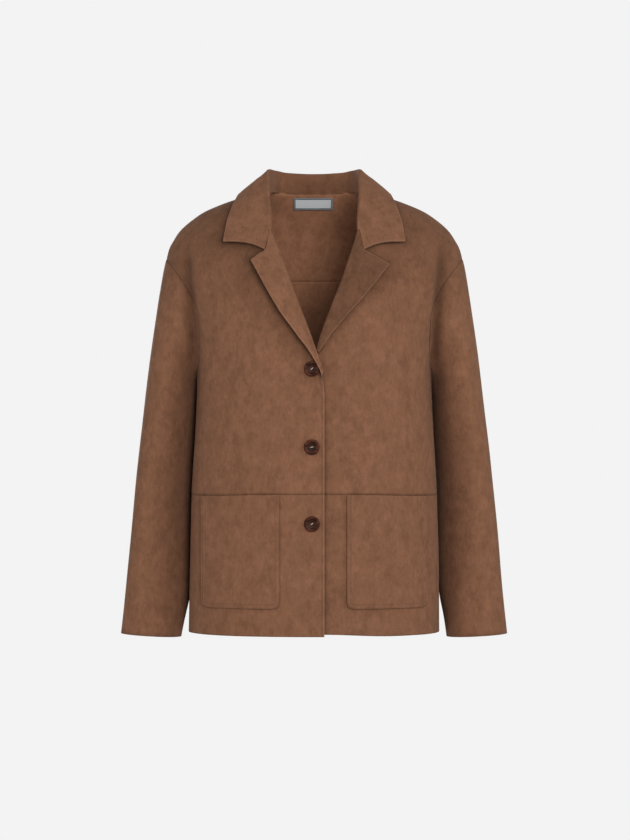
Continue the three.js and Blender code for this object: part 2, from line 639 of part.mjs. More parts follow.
function collarHalf() {
  const frontEdgeLine = COLLAR_OUT.map((t) => {
    const knee = COLLAR_OUT[1];
    if (t <= knee) return gorgeSeam(1, t / knee, SEAM_SHIFT);
    const late = (t - knee) / (1 - knee);
    const x = mix(NOTCH[0] + SEAM_SHIFT, COLLAR_POINT[0], late);
    const z = mix(NOTCH[1] + SEAM_SHIFT / 4, COLLAR_POINT[1], 1 - (1 - late) ** 3);
    return lifted(x, z, mix(COLLAR_FRONT_LIFT, COLLAR_LIFT + 1.5, late));
  });
  const point = frontEdgeLine[frontEdgeLine.length - 1];
  const sections = collarFrames().map((frame, i) => {
    const { start, turn, leaving } = rolled(frame);
    const from = turn[turn.length - 1];
    const end = i === 0 ? point.clone() : seat(vec(...COLLAR[i].edge), COLLAR_LIFT, true);
    const length = from.distanceTo(end);
    const leave = from.clone().addScaledVector(leaving, 0.3 * length);
    const arrive = end.clone().lerp(from, 0.33).addScaledVector(facing(end), 0.04 * length);
    const curve = new THREE.CubicBezierCurve3(from, leave, arrive, end);
    return { start, turn, laid: COLLAR_OUT.map((t) => seat(curve.getPoint(t), COLLAR_LIFT)) };
  });
  // The front edge's own line fades out over the first few stations
  const bend = frontEdgeLine.map((p, j) => p.clone().sub(sections[0].laid[j]));
  return sections.map(({ start, turn, laid }, i) => {
    const fade = Math.max(0, 1 - i / 5) ** 1.5;
    const bent = laid.map((p, j) => seat(p.clone().addScaledVector(bend[j], fade), COLLAR_LIFT));
    return [start, start.clone().lerp(turn[0], 0.5), ...turn, ...(i === 0 ? frontEdgeLine : bent)];
  });
}
function collar() {
  const half = collarHalf();
  const grid = [...half.slice(0, -1).map((row) => row.map(mirror)), ...[...half].reverse()];
  const facings = gridFacing(grid);
  SEAM_SHARES.forEach((_, k) => {
    const column = grid[0].length - COLLAR_OUT.length + k;
    [0, grid.length - 1].forEach((row) => facings[row][column].copy(facing(grid[row][column])).negate());
  });
  return shell(grid, moved(grid, facings, DOUBLE));
}
add('collar', collar(), SUEDE);

// Buttons: a dished disc with two holes, lying on the front
function asSolid(geometry) {
  const bare = geometry.index ? geometry.toNonIndexed() : geometry.clone();
  bare.deleteAttribute('normal');
  bare.deleteAttribute('uv');
  const merged = mergeVertices(bare, 1e-4);
  return new wasm.Manifold(new wasm.Mesh({
    numProp: 3,
    vertProperties: merged.attributes.position.array,
    triVerts: new Uint32Array(merged.index.array),
  }));
}
function asGeometry(solid) {
  const mesh = solid.getMesh();
  const geometry = new THREE.BufferGeometry();
  geometry.setAttribute('position', new THREE.BufferAttribute(new Float32Array(mesh.vertProperties), 3));
  geometry.setIndex(new THREE.BufferAttribute(new Uint32Array(mesh.triVerts), 1));
  return geometry;
}
function buttonGeometry() {
  const { radius, rim, dish, dishRadius, hole, spacing } = BUTTON;
  const under = [[0, 0], [radius - 1.6, 0], [radius - 0.4, 0.9], [radius, 2]];
  const over = [[radius - 0.5, rim - 0.7], [radius - 1.7, rim], [dishRadius + 0.6, rim - 0.2]];
  const floor = [[dishRadius - 0.8, rim - dish], [0, rim - dish - 0.2]];
  const profile = [...under, ...over, ...floor].map(([r, h]) => new THREE.Vector2(r, h));
  let solid = asSolid(new THREE.LatheGeometry(profile, 28));
  [-1, 1].forEach((way) => {
    const bore = new THREE.CylinderGeometry(hole, hole, rim * 3, 10);
    bore.translate(way * spacing, 0, 0);
    solid = solid.subtract(asSolid(bore));
  });
  return asGeometry(solid);
}
const disc = buttonGeometry();
BUTTON.levels.forEach((z, i) => {
  const p = onForm(BUTTON.x, z, true);
  const out = facing(p);
  const mesh = add(`button_${i + 1}`, disc, HORN);
  mesh.quaternion.setFromUnitVectors(vec(0, 1, 0), out);
  mesh.rotateY(THREE.MathUtils.degToRad(BUTTON.turn));
  mesh.position.copy(p).addScaledVector(out, BUTTON.lift);
});

// A plain woven label, sewn inside the yoke just below the neck seam
const labelGrid = range(2).map((s) => [-1, -0.5, 0, 0.5, 1].map((u) => {
  return onForm(LABEL.x + u * LABEL.half, mix(LABEL.bottom, LABEL.top, s), false);
}));
add('label', trunkWall(labelGrid, LABEL.thickness, () => -CLOTH - LABEL.gap), WOVEN);

export default root;
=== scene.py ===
import math

import bmesh
import bpy
import numpy as np
from mathutils import Matrix, Vector, noise
from mathutils.bvhtree import BVHTree
from mathutils.kdtree import KDTree


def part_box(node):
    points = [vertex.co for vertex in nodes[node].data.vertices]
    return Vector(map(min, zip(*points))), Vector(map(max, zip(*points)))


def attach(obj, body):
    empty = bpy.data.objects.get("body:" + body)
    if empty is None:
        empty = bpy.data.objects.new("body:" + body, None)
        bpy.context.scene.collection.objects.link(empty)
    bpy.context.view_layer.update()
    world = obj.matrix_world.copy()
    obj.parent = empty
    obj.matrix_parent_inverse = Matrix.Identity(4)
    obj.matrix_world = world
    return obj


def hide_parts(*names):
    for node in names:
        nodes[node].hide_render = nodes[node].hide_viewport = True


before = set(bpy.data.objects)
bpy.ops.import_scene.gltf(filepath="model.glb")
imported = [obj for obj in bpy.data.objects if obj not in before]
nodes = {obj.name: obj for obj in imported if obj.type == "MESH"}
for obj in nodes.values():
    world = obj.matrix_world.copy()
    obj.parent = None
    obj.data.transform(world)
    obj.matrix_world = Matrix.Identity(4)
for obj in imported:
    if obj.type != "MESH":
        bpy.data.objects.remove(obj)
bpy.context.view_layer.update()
scene = bpy.context.scene
MM = 0.001

# %% [markdown]
# The camera comes first, because every later choice is judged through it. The photo was taken level
# with the middle of the jacket from about four metres away. Its long side takes in 1218 mm there, and
# Blender's sensor width belongs to the long side, so the focal length follows from those two numbers.

# %% Camera
CAMERA_DISTANCE = 4.2
LONG_SIDE_SEEN = 1.218
SENSOR = 36.0
SEEN_MIDDLE_X, SEEN_MIDDLE_Z = 0.001, -0.326


def added(name, data):
    """A new object in the scene, made of a mesh, a lamp, a camera or a curve."""
    obj = bpy.data.objects.new(name, data)
    scene.collection.objects.link(obj)
    return obj


camera_data = bpy.data.cameras.new("photo_view")
camera_data.sensor_width = SENSOR
camera_data.lens = SENSOR * CAMERA_DISTANCE / LONG_SIDE_SEEN
camera = added("photo_view", camera_data)
camera.location = (SEEN_MIDDLE_X, -CAMERA_DISTANCE, SEEN_MIDDLE_Z)
camera.rotation_euler = (math.radians(90), 0, 0)
scene.camera = camera
print("lens:", round(camera_data.lens, 1))

# %% [markdown]
# A plain studio: an even pale surround that lights the suede from everywhere, a pale floor of the same
# tone, and four soft lamps. The key lamp is in front, above the collar and a little to the right. The
# side lamp and the fill round the sleeves off, and the rear lamp lights the back. The surround is one
# brightness to look at and another as a light, which a Light Path node tells apart. The plain view
# transform keeps the browns as they are mixed.

# %% Studio
PALE = 0.896  # how bright the surround looks
AROUND = 0.5  # and how much of it lights the jacket
WHITE = (1, 1, 1, 1)
BLACK = (0, 0, 0, 1)
LAMP_AIM = Vector((0, 0, -0.3))
FLOOR_Z, FLOOR_HALF = -1.3, 9
scene.view_settings.view_transform = "Standard"


def seen_or_lighting(tree):
    """PALE where the surround is looked at, AROUND where it lights something."""
    mix = tree.nodes.new("ShaderNodeMix")
    mix.inputs[2].default_value = AROUND
    mix.inputs[3].default_value = PALE
    tree.links.new(tree.nodes.new("ShaderNodeLightPath").outputs["Is Camera Ray"], mix.inputs[0])
    return mix.outputs[0]


def new_finish(name):
    """A new material, its node tree and its main shader."""
    material = bpy.data.materials.new(name)
    material.use_nodes = True
    return material, material.node_tree, material.node_tree.nodes["Principled BSDF"]


def lamp(name, place, size, power):
    data = bpy.data.lights.new(name, "AREA")
    data.shape = "DISK"
    data.size = size
    data.energy = power
    obj = added(name, data)
    obj.location = place
    obj.rotation_euler = (LAMP_AIM - Vector(place)).to_track_quat("-Z", "Y").to_euler()


world = bpy.data.worlds.new("studio")
world.use_nodes = True
background = world.node_tree.nodes["Background"]
background.inputs["Color"].default_value = WHITE
world.node_tree.links.new(seen_or_lighting(world.node_tree), background.inputs["Strength"])
scene.world = world

lamp("key", (0.7, -3.2, 0.4), size=1.4, power=60)
lamp("side", (2.7, -1.6, 0.5), size=0.9, power=34)
lamp("fill", (-2.4, -2.2, 0.0), size=1.6, power=34)
lamp("rear", (-0.9, 3.3, 0.2), size=2.0, power=90)

floor_mesh = bpy.data.meshes.new("floor")
corners = [(x * FLOOR_HALF, y * FLOOR_HALF, FLOOR_Z) for x, y in ((-1, -1), (1, -1), (1, 1), (-1, 1))]
floor_mesh.from_pydata(corners, [], [(0, 1, 2, 3)])
floor = added("floor", floor_mesh)
floor_finish, floor_tree, floor_shader = new_finish("pale_floor")
floor_shader.inputs["Base Color"].default_value = BLACK
floor_shader.inputs["Specular IOR Level"].default_value = 0
floor_shader.inputs["Emission Color"].default_value = WHITE
floor_tree.links.new(seen_or_lighting(floor_tree), floor_shader.inputs["Emission Strength"])
floor_mesh.materials.append(floor_finish)

# %% [markdown]
# Suede is leather with its flesh side brushed up into a short nap. The nap catches light one way and
# swallows it the other, which shows as soft patches a few centimetres across, with short streaks in
# them. The patches go into one shader group, made once and used by every cloth finish. It reads the
# point's place on the jacket, so the patches run over the seams as they do on a matched skin.

# %% Node helpers
def group_tree(name, inputs, outputs):
    """An empty shader group with its sockets, given as (name, type, default)."""
    tree = bpy.data.node_groups.new(name, "ShaderNodeTree")
    for label, kind, value in inputs:
        socket = tree.interface.new_socket(label, in_out="INPUT", socket_type=kind)
        socket.default_value = value
    for label, kind in outputs:
        tree.interface.new_socket(label, in_out="OUTPUT", socket_type=kind)
    return tree, tree.nodes.new("NodeGroupInput"), tree.nodes.new("NodeGroupOutput")


def put(tree, kind, settings=None, links=None):
    """A node with its settings, and its inputs given as values or as sockets to join."""
    node = tree.nodes.new(kind)
    for key, value in (settings or {}).items():
        setattr(node, key, value)
    for key, value in (links or {}).items():
        socket = node.inputs[key]
        if isinstance(value, bpy.types.NodeSocket):
            tree.links.new(value, socket)
        else:
            socket.default_value = value
    return node


def maths(tree, operation, a, b=0.0):
    return put(tree, "ShaderNodeMath", {"operation": operation}, {0: a, 1: b}).outputs[0]


def spread(tree, value, low, high, to_low=0.0, to_high=1.0):
    """Maps low..high of a value smoothly to to_low..to_high."""
    node = put(tree, "ShaderNodeMapRange", {"interpolation_type": "SMOOTHSTEP"}, {
        "Value": value, "From Min": low, "From Max": high, "To Min": to_low, "To Max": to_high})
    return node.outputs["Result"]


def blended(tree, share, a, b, way="MIX"):
    node = put(tree, "ShaderNodeMix", {"data_type": "RGBA", "blend_type": way}, {0: share, 6: a, 7: b})
    return node.outputs[2]


def dimmed(tree, tone, share):
    """A colour multiplied by one number."""
    grey = put(tree, "ShaderNodeCombineColor", None, {0: share, 1: share, 2: share}).outputs[0]
    return blended(tree, 1.0, tone, grey, "MULTIPLY")


def clouds(tree, place, scale, stretch=(1, 1, 1), detail=3.0, roughness=0.55, shift=(0, 0, 0)):
    """Smooth random patches, scale to the metre."""
    mapped = put(tree, "ShaderNodeMapping", None, {"Vector": place, "Scale": stretch, "Location": shift})
    return put(tree, "ShaderNodeTexNoise", None, {
        "Vector": mapped.outputs[0], "Scale": scale, "Detail": detail, "Roughness": roughness}).outputs[0]


def bumped(tree, shader, height, distance=1.0):
    """Tilts the shader's normals as if the surface rose by the height, in metres at distance 1."""
    bump = put(tree, "ShaderNodeBump", None, {"Height": height, "Distance": distance})
    tree.links.new(bump.outputs[0], shader.inputs["Normal"])


# %% [markdown]
# Inside the group two sizes of patches mix three browns. Fine strokes and grain then lighten and darken
# them a little. Light and shade are painted in as well: painted shadow along the stitch line, painted shade
# where a crease value asks for it and over the shoulders, and a pale painted highlight along a cut edge.

# %% Suede nap group
STITCH_SHADOW = (0.06, 0.026, 0.014, 1)
# A pale painted highlight along cut edges, in place of light on their rounded rims
EDGE_HIGHLIGHT_TONE = (0.36, 0.2, 0.13, 1)
# The dark tone of the painted shade in creases, beside edges and inside the back
PAINTED_SHADE_TONE = (0.022, 0.009, 0.005, 1)
PAINTED_SHADE_STRENGTH = 0.72
# Between these heights painted shade darkens the shoulders and the collar
SHOULDER_FROM, SHOULDER_FULL = -0.19, -0.07
NO_STITCHES = -10.0
BROWNS = {
    "Brown": (0.161, 0.0742, 0.0405, 1),
    "Warm patch": (0.184, 0.0840, 0.0475, 1),
    "Laid nap": (0.128, 0.0583, 0.0316, 1),
}


def nap_group():
    numbers = {"Rim": 50.0, "Stitch at": NO_STITCHES, "Stitch line shade": 0.4, "Edge highlight": 0.2, "Painted shade": 0.0,
               "Painted top shade": 0.8}
    tree, given, result = group_tree(
        "suede_nap",
        [(label, "NodeSocketColor", tone) for label, tone in BROWNS.items()]
        + [(label, "NodeSocketFloat", value) for label, value in numbers.items()],
        [("Color", "NodeSocketColor"), ("Height", "NodeSocketFloat")])
    given = given.outputs
    place = put(tree, "ShaderNodeTexCoord").outputs["Object"]
    warm = spread(tree, clouds(tree, place, 52, (1, 1, 0.85), 4, 0.6), 0.42, 0.64)
    laid = spread(tree, clouds(tree, place, 66, (1, 1, 0.8), 5, 0.62, (3, 1, 7)), 0.42, 0.68)
    strokes = clouds(tree, place, 230, (1, 1, 0.5), 3, 0.6, (1, 5, 2))
    grain = clouds(tree, place, 900, detail=2)
    tone = blended(tree, maths(tree, "MULTIPLY", warm, 0.8), given["Brown"], given["Warm patch"])
    tone = blended(tree, maths(tree, "MULTIPLY", laid, 0.75), tone, given["Laid nap"])
    stroke_light = spread(tree, strokes, 0.3, 0.7, 0.92, 1.08)
    grain_light = spread(tree, grain, 0.3, 0.7, -0.09, 0.09)
    tone = dimmed(tree, tone, maths(tree, "ADD", stroke_light, grain_light))
    level = put(tree, "ShaderNodeSeparateXYZ", None, {0: place}).outputs[2]
    # Painted shade over the shoulders and the collar
    tone = dimmed(tree, tone, spread(tree, level, SHOULDER_FROM, SHOULDER_FULL, 1.0, given["Painted top shade"]))
    off_line = maths(tree, "ABSOLUTE", maths(tree, "SUBTRACT", given["Rim"], given["Stitch at"]))
    groove = spread(tree, off_line, 0.0, 1.1, 1.0, 0.0)
    edge_highlight = spread(tree, given["Rim"], 0.4, 1.8, 1.0, 0.0)
    # Painted shadow along the stitch line, painted highlight along cut edges and painted shade in creases,
    # mixed into the tone
    for where, strength, shade in (
            (groove, given["Stitch line shade"], STITCH_SHADOW),
            (edge_highlight, given["Edge highlight"], EDGE_HIGHLIGHT_TONE),
            (given["Painted shade"], PAINTED_SHADE_STRENGTH, PAINTED_SHADE_TONE)):
        tone = blended(tree, maths(tree, "MULTIPLY", where, strength), tone, shade)
    rough = maths(tree, "MULTIPLY", maths(tree, "ADD", grain, strokes), 0.00014)
    height = maths(tree, "SUBTRACT", rough, maths(tree, "MULTIPLY", groove, 0.0004))
    tree.links.new(tone, result.inputs["Color"])
    tree.links.new(height, result.inputs["Height"])
    return tree


NAP = nap_group()
print("group:", NAP.name)

# %% [markdown]
# The finishes differ in where their stitches lie, in millimetres from the rim, and in how light the
# skin is: a lighter inside and tape are painted light, a darker lapel is painted shade. The rim distance
# and the creases' painted shade are read from values that the meshes carry on their points.

# %% Suede finishes
FRONT_STITCH = 3.2
POCKET_STITCH = 5.6


def suede(name, stitch_at=NO_STITCHES, stitch_line_shade=0.4, shade=1.0, edge_highlight=0.2, painted_top_shade=0.8):
    """A suede finish. shade paints light onto the whole skin above 1 and shade below 1, and painted_top_shade
    paints shade over its part above the shoulders.
    """
    material, tree, shader = new_finish(name)
    rim = put(tree, "ShaderNodeAttribute", {"attribute_name": "rim"}).outputs["Fac"]
    # The crease value on the points is painted shade
    crease = put(tree, "ShaderNodeAttribute", {"attribute_name": "crease"}).outputs["Fac"]
    nap = put(tree, "ShaderNodeGroup", {"node_tree": NAP}, {
        "Rim": rim, "Stitch at": stitch_at, "Stitch line shade": stitch_line_shade, "Edge highlight": edge_highlight,
        "Painted shade": crease, "Painted top shade": painted_top_shade})
    for label, tone in BROWNS.items():
        nap.inputs[label].default_value = [*(c * shade for c in tone[:3]), 1]
    tree.links.new(nap.outputs["Color"], shader.inputs["Base Color"])
    bumped(tree, shader, nap.outputs["Height"])
    shader.inputs["Roughness"].default_value = 0.92
    shader.inputs["Specular IOR Level"].default_value = 0.05
    shader.inputs["Sheen Weight"].default_value = 0.06
    shader.inputs["Sheen Roughness"].default_value = 0.6
    shader.inputs["Sheen Tint"].default_value = (1.0, 0.75, 0.6, 1)
    return material


PLAIN_SUEDE = suede("suede_plain")
FRONT_SUEDE = suede("suede_front", FRONT_STITCH, edge_highlight=0.34)
POCKET_SUEDE = suede("suede_pocket", POCKET_STITCH, 0.15, edge_highlight=0.06)
COLLAR_SUEDE = suede("suede_collar", painted_top_shade=0.95)
# Painted shade: lapel_left's skin is made darker than the other lapel's
SHADED_LAPEL_SUEDE = suede("suede_lapel_painted_shade", shade=0.66, painted_top_shade=0.95)
# Painted light: the faces inside the jacket are made lighter, standing in for light reaching them
LIGHTENED_INNER_SUEDE = suede("suede_inner_painted_light", shade=1.85, painted_top_shade=1.0)
# Painted light: the tape is made lighter, so that it shows as a light line along the seam
LIGHTENED_TAPE_SUEDE = suede("suede_tape_painted_light", shade=2.4)
print("finishes:", [m.name for m in bpy.data.materials])

# %% [markdown]
# Each panel of the jacket takes its form from the solid of the same name. The solid is a wall made of
# flat facets. Its triangles are merged back into the quads they were cut from, the edges of the wall
# are creased so that they stay crisp, and a Subdivision Surface rounds the rest. Subdivision pulls a
# surface inwards, so the cage is first pushed out until the round surface passes through the solid's
# own corners. The cloth then lies exactly where the solid is, and neighbours keep their seam gap.

# %% From facets to cloth
SAME_POINT = 1e-5
CREASED_FROM = math.radians(50)
PUSHES = 5


def vectors(items, field):
    """A value with three parts, read off many points or faces at once, a row for each."""
    flat = np.zeros(len(items) * 3, np.float32)
    items.foreach_get(field, flat)
    return flat.reshape(-1, 3).astype(float)


def coordinates(mesh):
    return vectors(mesh.vertices, "co")


def set_coordinates(mesh, points):
    mesh.vertices.foreach_set("co", points.astype(np.float32).ravel())
    mesh.update()


def write_values(mesh, name, values):
    """One number on every point, for the materials to read by its name."""
    attribute = mesh.attributes.new(name, "FLOAT", "POINT")
    attribute.data.foreach_set("value", values.astype(np.float32))


def evaluated_mesh(obj):
    """The object's mesh with its modifiers applied."""
    bpy.context.view_layer.update()
    return bpy.data.meshes.new_from_object(obj.evaluated_get(bpy.context.evaluated_depsgraph_get()))


def cage_of(name):
    """The solid's own facets as quads, with the wall's edges creased, and those edges' end points."""
    cage = bmesh.new()
    cage.from_mesh(nodes[name].data)
    bmesh.ops.remove_doubles(cage, verts=cage.verts, dist=SAME_POINT)
    bmesh.ops.join_triangles(cage, faces=cage.faces, angle_face_threshold=1.2,
                             angle_shape_threshold=3.1, topology_influence=1.0)
    crease = cage.edges.layers.float.new("crease_edge")
    rims = []
    for edge in cage.edges:
        if edge.calc_face_angle(0) > CREASED_FROM:
            edge[crease] = 1
            rims.append([edge.verts[0].co.copy(), edge.verts[1].co.copy()])
    mesh = bpy.data.meshes.new(name)
    cage.to_mesh(mesh)
    cage.free()
    return mesh, np.array(rims)


def rounded(name, piece, levels):
    """A smooth copy of a solid that passes through all of the solid's corners."""
    mesh, rims = cage_of(name)
    obj = added(piece, mesh)
    modifier = obj.modifiers.new("round", "SUBSURF")
    modifier.levels = modifier.render_levels = 1
    wanted = coordinates(mesh)
    for _ in range(PUSHES):
        limit = evaluated_mesh(obj)
        set_coordinates(mesh, coordinates(mesh) + wanted - coordinates(limit)[:len(wanted)])
        bpy.data.meshes.remove(limit)
    modifier.levels = modifier.render_levels = levels
    fine = evaluated_mesh(obj)
    obj.modifiers.clear()
    obj.data = fine
    fine.shade_smooth()
    return obj, rims


def distance_to(points, segments):
    """The distance from each point to the nearest of some straight segments, one metre at most."""
    best = np.full(len(points), 1.0)
    for a, b in segments:
        along = b - a
        share = np.clip((points - a) @ along / max(along @ along, 1e-12), 0, 1)
        best = np.minimum(best, np.linalg.norm(points - a - share[:, None] * along, axis=1))
    return best


# %% [markdown]
# Cut cloth is never quite flat: it swings a little between its seams and gathers along them, and it
# sinks in beside the armhole. One field of gentle waves moves every layer of the trunk alike, along the
# way it faces, so that a pocket stays on its panel. The waves are a few millimetres at most. Tables
# give sizes at some heights, and the rest is read between their rows.

# %% How the cloth lies
WAIST_Z = -0.431
SWING, SWING_SIZE = 0.0016, 0.075
PUCKER, PUCKER_SIZE, PUCKER_BAND = 0.001, 0.015, 0.018
TRUNK = {
    "z": [-0.631, -0.431, -0.262, -0.18, -0.12, -0.094, -0.043, 0.009],
    "half": [0.182, 0.177, 0.170, 0.180, 0.207, 0.215, 0.185, 0.069],
    "depth": [0.132, 0.132, 0.132, 0.125, 0.111, 0.1, 0.074, 0.036],
}
# The soft groove between chest and sleeve, from the shoulder down to the armhole
GROOVE = {
    "z": [-0.30, -0.25, -0.183, -0.156, -0.128, -0.100, -0.065],
    "x": [0.168, 0.169, 0.172, 0.1745, 0.1775, 0.180, 0.181],
    "deep": [0, 0.005, 0.0095, 0.0105, 0.0095, 0.007, 0],
}
GROOVE_STEEP, GROOVE_GENTLE = 0.005, 0.010


def at_height(points, table, column):
    """A column of a table, read at each point's height."""
    return np.interp(points[:, 2], table["z"], table[column])


def ramp(values, zero_at, one_at):
    """From 0 to 1 in a straight line, and flat beyond."""
    return np.clip((values - zero_at) / (one_at - zero_at), 0, 1)


def bell(values, middle, wide):
    """1 at the middle, dying out softly on both sides."""
    return np.exp(-((values - middle) / wide) ** 2)


def level_way(x, y):
    """Level directions of length 1."""
    way = np.stack([x, y, np.zeros(len(x))], axis=1)
    return way / np.maximum(np.linalg.norm(way, axis=1), 1e-9)[:, None]


def outwards(points):
    """The way the trunk faces at each point, level all round."""
    half = at_height(points, TRUNK, "half")
    depth = at_height(points, TRUNK, "depth")
    x = np.sign(points[:, 0]) * np.abs(points[:, 0] / half) ** 1.4 / half
    y = np.sign(points[:, 1]) * np.abs(points[:, 1] / depth) ** 1.4 / depth
    return level_way(x, y)


def waves(points, size, seed):
    """Smooth noise from -1 to 1 at each point, with bumps of about that size in metres."""
    shift = Vector((seed * 13.7, seed * 5.1, seed * 9.3))
    return np.array([noise.noise(Vector(p) / size + shift) for p in points])


def in_groove(points):
    """From 0 to 1 across the groove, steep on the chest's side and gentle on the sleeve's."""
    off = np.abs(points[:, 0]) - at_height(points, GROOVE, "x")
    return bell(off, 0, np.where(off < 0, GROOVE_STEEP, GROOVE_GENTLE)) * ramp(points[:, 1], -0.01, -0.04)


def armhole_groove(points):
    """How far the front sinks backwards beside the armhole. Fronts and sleeves share it."""
    return at_height(points, GROOVE, "deep") * in_groove(points)


def trunk_swing(points):
    """The broad swing of the trunk's cloth, in and out."""
    return outwards(points) * (SWING * waves(points * (1, 1, 0.55), SWING_SIZE, seed=1))[:, None]


def trunk_lie(points):
    """Fronts, back, yoke and pockets swing, pucker at the waist seam and sink in beside the armhole."""
    at_waist = bell(points[:, 2], WAIST_Z, PUCKER_BAND) * (points[:, 1] < 0)
    pucker = PUCKER * at_waist * waves(points, PUCKER_SIZE, seed=2)
    moved = points + trunk_swing(points) + outwards(points) * pucker[:, None]
    moved[:, 1] += armhole_groove(points)
    return moved


# %% [markdown]
# A panel is made in four steps: its solid is rounded, each point learns how far it lies from the rim,
# the faces get their finish, outside and inside, and the lie moves the points.

# %% Panels, pockets, back and yoke
FAR_FROM_RIM = 90.0
cloth = {}


def write_rim(obj, segments):
    """How many millimetres each point lies from the given edges, FAR_FROM_RIM at most."""
    values = distance_to(coordinates(obj.data), segments) / MM
    write_values(obj.data, "rim", np.minimum(values, FAR_FROM_RIM))


def finish_inside(mesh, out_of):
    """Gives the faces that look into the jacket the second finish."""
    ways = out_of(vectors(mesh.polygons, "center"))
    inward = (vectors(mesh.polygons, "normal") * ways).sum(axis=1) < -0.35
    mesh.polygons.foreach_set("material_index", inward.astype(np.int32))


def panel(name, levels, finish, rim_of, lie=trunk_lie, out_of=outwards):
    obj, rims = rounded(name, name + "_cloth", levels)
    write_rim(obj, rim_of(rims))
    obj.data.materials.clear()
    obj.data.materials.append(finish)
    if out_of:
        obj.data.materials.append(LIGHTENED_INNER_SUEDE)
        finish_inside(obj.data, out_of)
    set_coordinates(obj.data, lie(coordinates(obj.data)))
    cloth[name] = obj
    print(obj.name, "faces:", len(obj.data.polygons))


def no_rim(rims):
    return rims[:0]


def front_edge(rims):
    """The rim segments along the front's own edge, which run upright near the middle."""
    middle = rims.mean(axis=1)
    run = np.abs(rims[:, 1] - rims[:, 0])
    return rims[(np.abs(middle[:, 0]) < 0.024) & (run[:, 2] > 2 * run[:, 0])]


def below_top(rims):
    """A pocket's sides and bottom. Its top edge runs into the waist seam, with no stitching of its own."""
    return rims[rims[:, :, 2].min(axis=1) < rims[:, :, 2].max() - 0.008]


def pocket_lie(points):
    """A patch pocket whose left edge stands a little proud of the panel."""
    moved = trunk_lie(points)
    moved[:, 1] -= 0.0014 * ramp(points[:, 0] - points[:, 0].min(), 0.009, 0)
    return moved


for name in ("front_right_upper", "front_left_upper", "front_right_lower", "front_left_lower"):
    panel(name, 3, FRONT_SUEDE, front_edge)
for name in ("pocket_right", "pocket_left"):
    panel(name, 3, POCKET_SUEDE, below_top, pocket_lie, None)
for name in ("back", "back_yoke"):
    panel(name, 2, PLAIN_SUEDE, no_rim)

# %% [markdown]
# Lapels and collar are doubled cloth that springs away from its fold. Each has a lie of its own. The
# upper lapel runs out along the front's edge, just above the top button, and the other one tucks in
# behind it. The collar is drawn in over the shoulders, and its stand laps over the neck seam.

# %% Lapels and collar
GORGE = np.array([[0.060, -0.057], [0.070, -0.084]])
GORGE_WITHIN = 0.004
FOLD = {"z": [-0.245, -0.208, -0.101, -0.057], "x": [-0.009, 0.004, 0.0455, 0.0606]}
LAPEL_SPRING, LEAF_LIFT, SHOULDER_DRAW = 0.0065, 0.004, 0.005
# The upper lapel's free edge at its lower end, and the line that it is drawn out along to the front edge
LAPEL_END_Z, LAPEL_DROP = -0.2355, 0.019
LAPEL_EDGE = {"z": [-0.2472, -0.2396, -0.2345, -0.227], "x": [0.0052, 0.0002, -0.0039, -0.0085]}
DRAWN_EDGE = {"z": [-0.267, -0.2577, -0.248, -0.2345, -0.227],
              "x": [0.0112, 0.0087, 0.0044, -0.0039, -0.0085]}
UNDER_TUCK = np.array([-0.002, 0.001, -0.005])
# How far back the collar's stand lies, at some distances from the middle
STAND = {"x": [0, 0.020, 0.038, 0.0535, 0.0645], "y": [0.0605, 0.0592, 0.0541, 0.043, -0.0057]}


def free_edges(rims):
    """The rim without the seam between collar and lapel, which is sewn down and has no brushed edge."""
    middle = rims.mean(axis=1)
    seen = np.stack([np.abs(middle[:, 0]), middle[:, 2]], axis=1)
    return rims[distance_to(seen, [GORGE]) > GORGE_WITHIN]


def sprung(points):
    """The free side of a lapel stands off the chest, more the farther it is from the fold."""
    off_fold = np.abs(points[:, 0]) - at_height(points, FOLD, "x")
    moved = trunk_lie(points)
    moved[:, 1] -= LAPEL_SPRING * ramp(off_fold, 0.004, 0.046) * ramp(points[:, 2], -0.084, -0.114)
    return moved


def upper_lapel(points):
    """Draws the lower end of the upper lapel down over the button's rim, where it runs out along the edge."""
    share = ramp(points[:, 2], LAPEL_END_Z, LAPEL_EDGE["z"][0]) ** 1.5
    across = points[:, 0] - at_height(points, LAPEL_EDGE, "x")
    moved = sprung(points)
    moved[:, 2] -= LAPEL_DROP * share
    drawn = at_height(moved, DRAWN_EDGE, "x") + across * (1 - 0.55 * share)
    moved[:, 0] = np.where(share > 0, drawn, moved[:, 0])
    moved[:, 1] -= 0.0012 * share
    return moved


def under_lapel(points):
    """Tucks the lower end of the other lapel behind the upper one."""
    return sprung(points) + ramp(points[:, 2], -0.208, -0.227)[:, None] * UNDER_TUCK


def collar_lie(points):
    """Draws the collar in a little where it passes over the shoulder, and evens its top between the folds."""
    _, y, z = points.T
    side, out = np.sign(points[:, 0]), np.abs(points[:, 0])
    moved = trunk_lie(points)
    moved[:, 0] -= side * SHOULDER_DRAW * ramp(out, 0.085, 0.115) * ramp(z, -0.04, -0.005)
    moved[:, 2] += 0.0022 * ramp(z, 0.02, 0.035) * bell(out, 0.054, 0.0085)
    moved[:, 1] -= LEAF_LIFT * ramp(out, 0.078, 0.118) * ramp(z, -0.025, -0.065) * (y < 0)
    # The stand's lower edge laps over the neck seam, more towards its ends
    before_stand = y < np.interp(out, STAND["x"], STAND["y"]) + 0.006
    is_lower_edge = before_stand & (y > -0.012) & (out < 0.068) & (z > 0.005)
    moved[:, 2] -= (0.0018 + 0.0048 * ramp(y, 0.043, -0.006)) * ramp(z, 0.022, 0.009) * is_lower_edge
    return moved


panel("lapel_right", 3, COLLAR_SUEDE, free_edges, upper_lapel, None)
panel("lapel_left", 3, SHADED_LAPEL_SUEDE, free_edges, under_lapel, None)
panel("collar", 3, COLLAR_SUEDE, free_edges, collar_lie, None)

